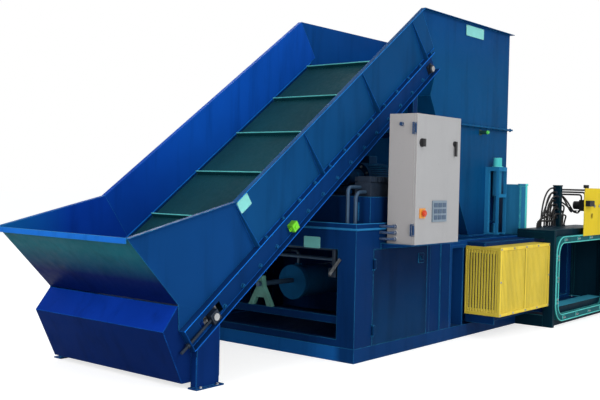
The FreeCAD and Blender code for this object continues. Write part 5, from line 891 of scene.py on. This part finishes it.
def dressMotors(v):
    spots = []
    screws = []
    for y in v["motorYs"]:
        for i in range(v["finCount"]):
            turn = 2 * math.pi * (i + 0.5) / v["finCount"]
            way = Vector((0.0, math.sin(turn), math.cos(turn)))
            if abs(math.degrees(math.atan2(way.y, abs(way.z)))) > v["clearTurn"]:
                spots.append((at(v["motorX"], y, v["motorZ"]) + way * v["motorRadius"] / 1000, way))
        flange = at(v["flangeX"], y, v["motorZ"])
        screws += ringOfScrews(flange, tailward, near, v["flangeCircle"], v["flangeCount"])
    sizes = {"Size X": v["finLength"], "Size Y": v["finThickness"], "Size Z": v["finHeight"]}
    grow("pumpMotorFins", pointMesh("pumpMotorFins", spots), "fin", sizes, "motorBlue")
    screwRow("pumpMotorScrews", screws, v["flangeFlats"], "boltZinc")
    middle = onBelt(v["driveAlong"], 0.0, v["driveY"])
    spots = []
    for i in range(v["driveFins"]):
        turn = 2 * math.pi * (i + 0.5) / v["driveFins"]
        way = Vector((math.sin(turn), 0.0, math.cos(turn)))
        if way.dot(beltUp) < v["driveClear"]:
            spots.append((middle + way * v["driveRadius"] / 1000, way))
    sizes = {"Size X": v["finThickness"], "Size Y": v["driveLength"], "Size Z": v["finHeight"]}
    grow("driveMotorFins", pointMesh("driveMotorFins", spots), "fin", sizes, "motorBlue")


dressMotors(motorDress)
print("motor fins placed")

# weld beads along the gussets, the feet of the skirts and the legs
weldBeads = {
    "radius": 0.006, "pitch": 0.007, "nearFace": 373.0, "farFace": 2007.0,
    "gussetPitch": 1073.0, "gussetCount": 4, "gussetStart": 714.0, "plate": 8.0, "gussetFoot": 146.0,
    "gussetTop": 600.0, "skirtFoot": 141.0, "skirtEnd": 4185.0,
    "legXs": (-1650.18, -1405.18), "legYs": (319.0, 2061.0), "legFoot": 13.0, "legTop": 250.0,
}


def runWelds(v):
    lines = []
    for face in (v["nearFace"], v["farFace"]):
        for i in range(v["gussetCount"]):
            s = v["gussetStart"] + i * v["gussetPitch"]
            for edge in (s, s + v["plate"]):
                lines.append([onBelt(edge, above, face) for above in (v["gussetFoot"], v["gussetTop"])])
        lines.append([onBelt(s, v["skirtFoot"], face) for s in (v["gussetStart"], v["skirtEnd"])])
    for y in v["legYs"]:
        lines += [[at(x, y, z) for z in (v["legFoot"], v["legTop"])] for x in v["legXs"]]
    sizes = {"Bead Radius": v["radius"], "Bead Pitch": v["pitch"]}
    grow("weldSeams", lineMesh("weldSeams", lines), "weld", sizes, "frameEnamel")


runWelds(weldBeads)
print("weld seams run")

# three bare plates, each a rounded sheet with a raised rim and four rivets
barePlates = {
    "thick": 0.003, "rim": 0.004, "corner": 0.008, "turnSteps": 4,
    "rimFall": 1.3, "fieldRise": 0.6,   # where the rim ends, as shares of its width and the thickness
    "rivetRadius": 0.005, "rivetHeight": 0.003, "rivetInset": 1.4,
    "places": (   # centre, way it faces, up on the plate, width and height in millimetres
        (onBelt(812.0, 520.0, 374.0), near, beltUp, 150.0, 110.0),
        (at(0.0, 500.0, 1068.0), tailward, upward, 190.0, 105.0),
        (at(2796.0, 368.0, 3385.0), near, upward, 420.0, 120.0),
    ),
}


def plateSheet(name, v, middle, facing, up, width, height):   # gives the places of its rivets
    side = up.cross(facing)
    field = v["thick"] * v["fieldRise"]
    shell = bmesh.new()
    levels = ((0.0, 0.0), (0.0, v["thick"]), (-v["rim"], v["thick"]), (-v["rim"] * v["rimFall"], field))
    loops = []
    for widen, rise in levels:
        reach = v["corner"] + widen
        loop = []
        for quarter, (sx, sy) in enumerate(((1, 1), (-1, 1), (-1, -1), (1, -1))):
            cornerAt = (sx * (width / 2000 - v["corner"]), sy * (height / 2000 - v["corner"]))
            for step in range(v["turnSteps"] + 1):
                turn = math.radians(90.0 * quarter + 90.0 * step / v["turnSteps"])
                x = cornerAt[0] + math.cos(turn) * reach
                y = cornerAt[1] + math.sin(turn) * reach
                loop.append(shell.verts.new(middle + side * x + up * y + facing * rise))
        loops.append(loop)
    for a, b in zip(loops, loops[1:]):
        for i in range(len(a)):
            j = (i + 1) % len(a)
            shell.faces.new((a[i], a[j], b[j], b[i]))
    shell.faces.new(loops[-1])
    shell.faces.new(list(reversed(loops[0])))
    settle(name, shell, "barePlate")
    inset = v["corner"] * v["rivetInset"]
    across, rise = side * (width / 2000 - inset), up * (height / 2000 - inset)
    return [(middle + across * sx + rise * sy + facing * field, facing) for sx in (1, -1) for sy in (1, -1)]


def hangPlates(v):
    rivets = []
    for i, place in enumerate(v["places"]):
        rivets += plateSheet("noticePlate" + str(i + 1), v, *place)
    sizes = {"Head Radius": v["rivetRadius"], "Head Height": v["rivetHeight"]}
    grow("plateRivets", pointMesh("plateRivets", rivets), "rivet", sizes, "boltZinc")


hangPlates(barePlates)
print("bare plates hung")

# thin rims along the inner and outer edge of the wire track; their bright teal is a painted highlight
trackHighlightRims = {"radius": 0.0065, "left": 3325.0, "right": 4980.0, "bottom": 55.0, "top": 1045.0, "face": -470.5,
             "corner": 210.0, "section": 80.0, "edge": 5.0, "turnSteps": 10}


def runRims(v):
    runs = []
    corners = (("right", "top"), ("left", "top"), ("left", "bottom"), ("right", "bottom"))
    for inset in (v["edge"], v["section"] - v["edge"]):
        reach = v["corner"] - inset
        run = []
        for quarter, (xSide, zSide) in enumerate(corners):
            x = v[xSide] + (-1 if xSide == "right" else 1) * v["corner"]
            z = v[zSide] + (-1 if zSide == "top" else 1) * v["corner"]
            for step in range(v["turnSteps"] + 1):
                turn = math.radians(90.0 * quarter + 90.0 * step / v["turnSteps"])
                run.append(at(x + math.cos(turn) * reach, v["face"], z + math.sin(turn) * reach))
        runs.append(run)
    sizes = {"Hose Radius": v["radius"]}
    grow("trackHighlightRims", lineMesh("trackHighlightRims", runs, closed=True), "hose", sizes, "rimTeal")


runRims(trackHighlightRims)
print("track rims run")

# folded strip under the exit's side plate
exitSill = {
    "start": 4872.0, "corner": 4900.5, "end": 4979.0, "slit": 0.5,
    "back": -0.5, "front": -20.0, "deepFront": -212.5,
    "bottom": 181.0, "top": 212.5, "plate": 5.0, "bend": 4.0,
}


def foldSill(v):
    inner = v["back"] - v["plate"]
    rise = v["bottom"] + v["plate"]
    shell = bmesh.new()
    for x0, x1, front in ((v["start"], v["corner"], v["front"]), (v["corner"] + v["slit"], v["end"], v["deepFront"])):
        profile = [(front, v["bottom"]), (v["back"], v["bottom"]), (v["back"], v["top"]), (inner, v["top"]),
                   (inner, rise + v["bend"]), (inner - v["bend"], rise), (front, rise)]
        ends = [[shell.verts.new(at(x, y, z)) for y, z in profile] for x in (x0, x1)]
        for i in range(len(profile)):
            j = (i + 1) % len(profile)
            shell.faces.new((ends[0][i], ends[0][j], ends[1][j], ends[1][i]))
        shell.faces.new(ends[0])
        shell.faces.new(list(reversed(ends[1])))
    settle("exitSill", shell, "exitGreen")


foldSill(exitSill)
print("exit sill folded")

# the tier's hoses: bundles that loop between its deck, its mast and the tie head
tierHoses = {
    "radius": 0.0105, "steps": 14, "fittingFlats": 0.030, "seed": 5, "wobble": 0.02,
    "deck": 1119.0, "lowest": 1235.0, "highest": 1600.0, "mastLeft": 4270.0, "mastRight": 4340.0,
    "leftCount": 8, "leftStride": 3, "leftStart": 3890.0, "leftEnd": 4225.0, "leftFace": -14.0, "leftDepth": 62.0,
    "leftLift": 0.16, "leftLiftMore": 0.14, "leftPull": 0.13, "leftPullMore": 0.10, "leftArch": 0.03,
    "rightCount": 6, "rightFace": -20.0, "rightDepth": 50.0, "rightInset": 30.0,
    "rightLift": 0.12, "rightPull": 0.16, "rightPullMore": 0.03,
    "headX": 4430.0, "headXStep": 40.0, "headY": -185.0, "headYStep": 30.0, "headTop": 1325.0,
    "endX": 4420.0, "endStep": 55.0, "endY": -45.0,
}


def looped(a, b, c, d, count):   # a smooth run from a to d, pulled towards b and c
    points = []
    for i in range(count + 1):
        t = i / count
        points.append(a * (1 - t) ** 3 + b * 3 * t * (1 - t) ** 2 + c * 3 * t * t * (1 - t) + d * t ** 3)
    return points


def runHoses(v):
    runs = []
    ends = []
    chance = random.Random(v["seed"])
    wobble, count = v["wobble"], v["leftCount"]
    height = v["highest"] - v["lowest"]
    for i in range(count):
        share = i / (count - 1)
        y = v["leftFace"] - v["leftDepth"] * ((i * v["leftStride"]) % count) / count
        foot = at(v["leftStart"] + (v["leftEnd"] - v["leftStart"]) * share, y, v["deck"])
        top = at(v["mastLeft"], y, v["highest"] - height * share)
        lift = v["leftLift"] + v["leftLiftMore"] * (1 - share) + chance.uniform(-wobble, wobble)
        pull = v["leftPull"] + v["leftPullMore"] * (1 - share) + chance.uniform(-wobble, wobble)
        bend = top + tailward * pull + upward * v["leftArch"]
        runs.append(looped(foot, foot + upward * lift, bend, top, v["steps"]))
        ends += [(foot, upward), (top, tailward)]
    count, inset = v["rightCount"], v["rightInset"]
    for i in range(count):
        share = i / (count - 1)
        z = v["highest"] - inset - (height - 2 * inset) * share
        top = at(v["mastRight"], v["rightFace"] - v["rightDepth"] * (i % 2), z)
        if i < count / 2:
            end = at(v["headX"] + v["headXStep"] * i, v["headY"] - v["headYStep"] * i, v["headTop"])
            way = -upward
        else:
            end = at(v["endX"] + v["endStep"] * (i - count / 2), v["endY"], v["deck"])
            way = upward
        lift = v["rightLift"] + chance.uniform(-wobble, 2 * wobble)
        bend = top + headward * (v["rightPull"] + v["rightPullMore"] * i)
        runs.append(looped(top, bend, end + way * lift, end, v["steps"]))
        ends += [(top, headward), (end, way)]
    sizes = {"Hose Radius": v["radius"]}
    grow("tierHoseLoops", lineMesh("tierHoseLoops", runs), "hose", sizes, "hoseRubber")
    screwRow("hoseFittings", ends, v["fittingFlats"], "darkIron")


runHoses(tierHoses)
print("tier hoses run")
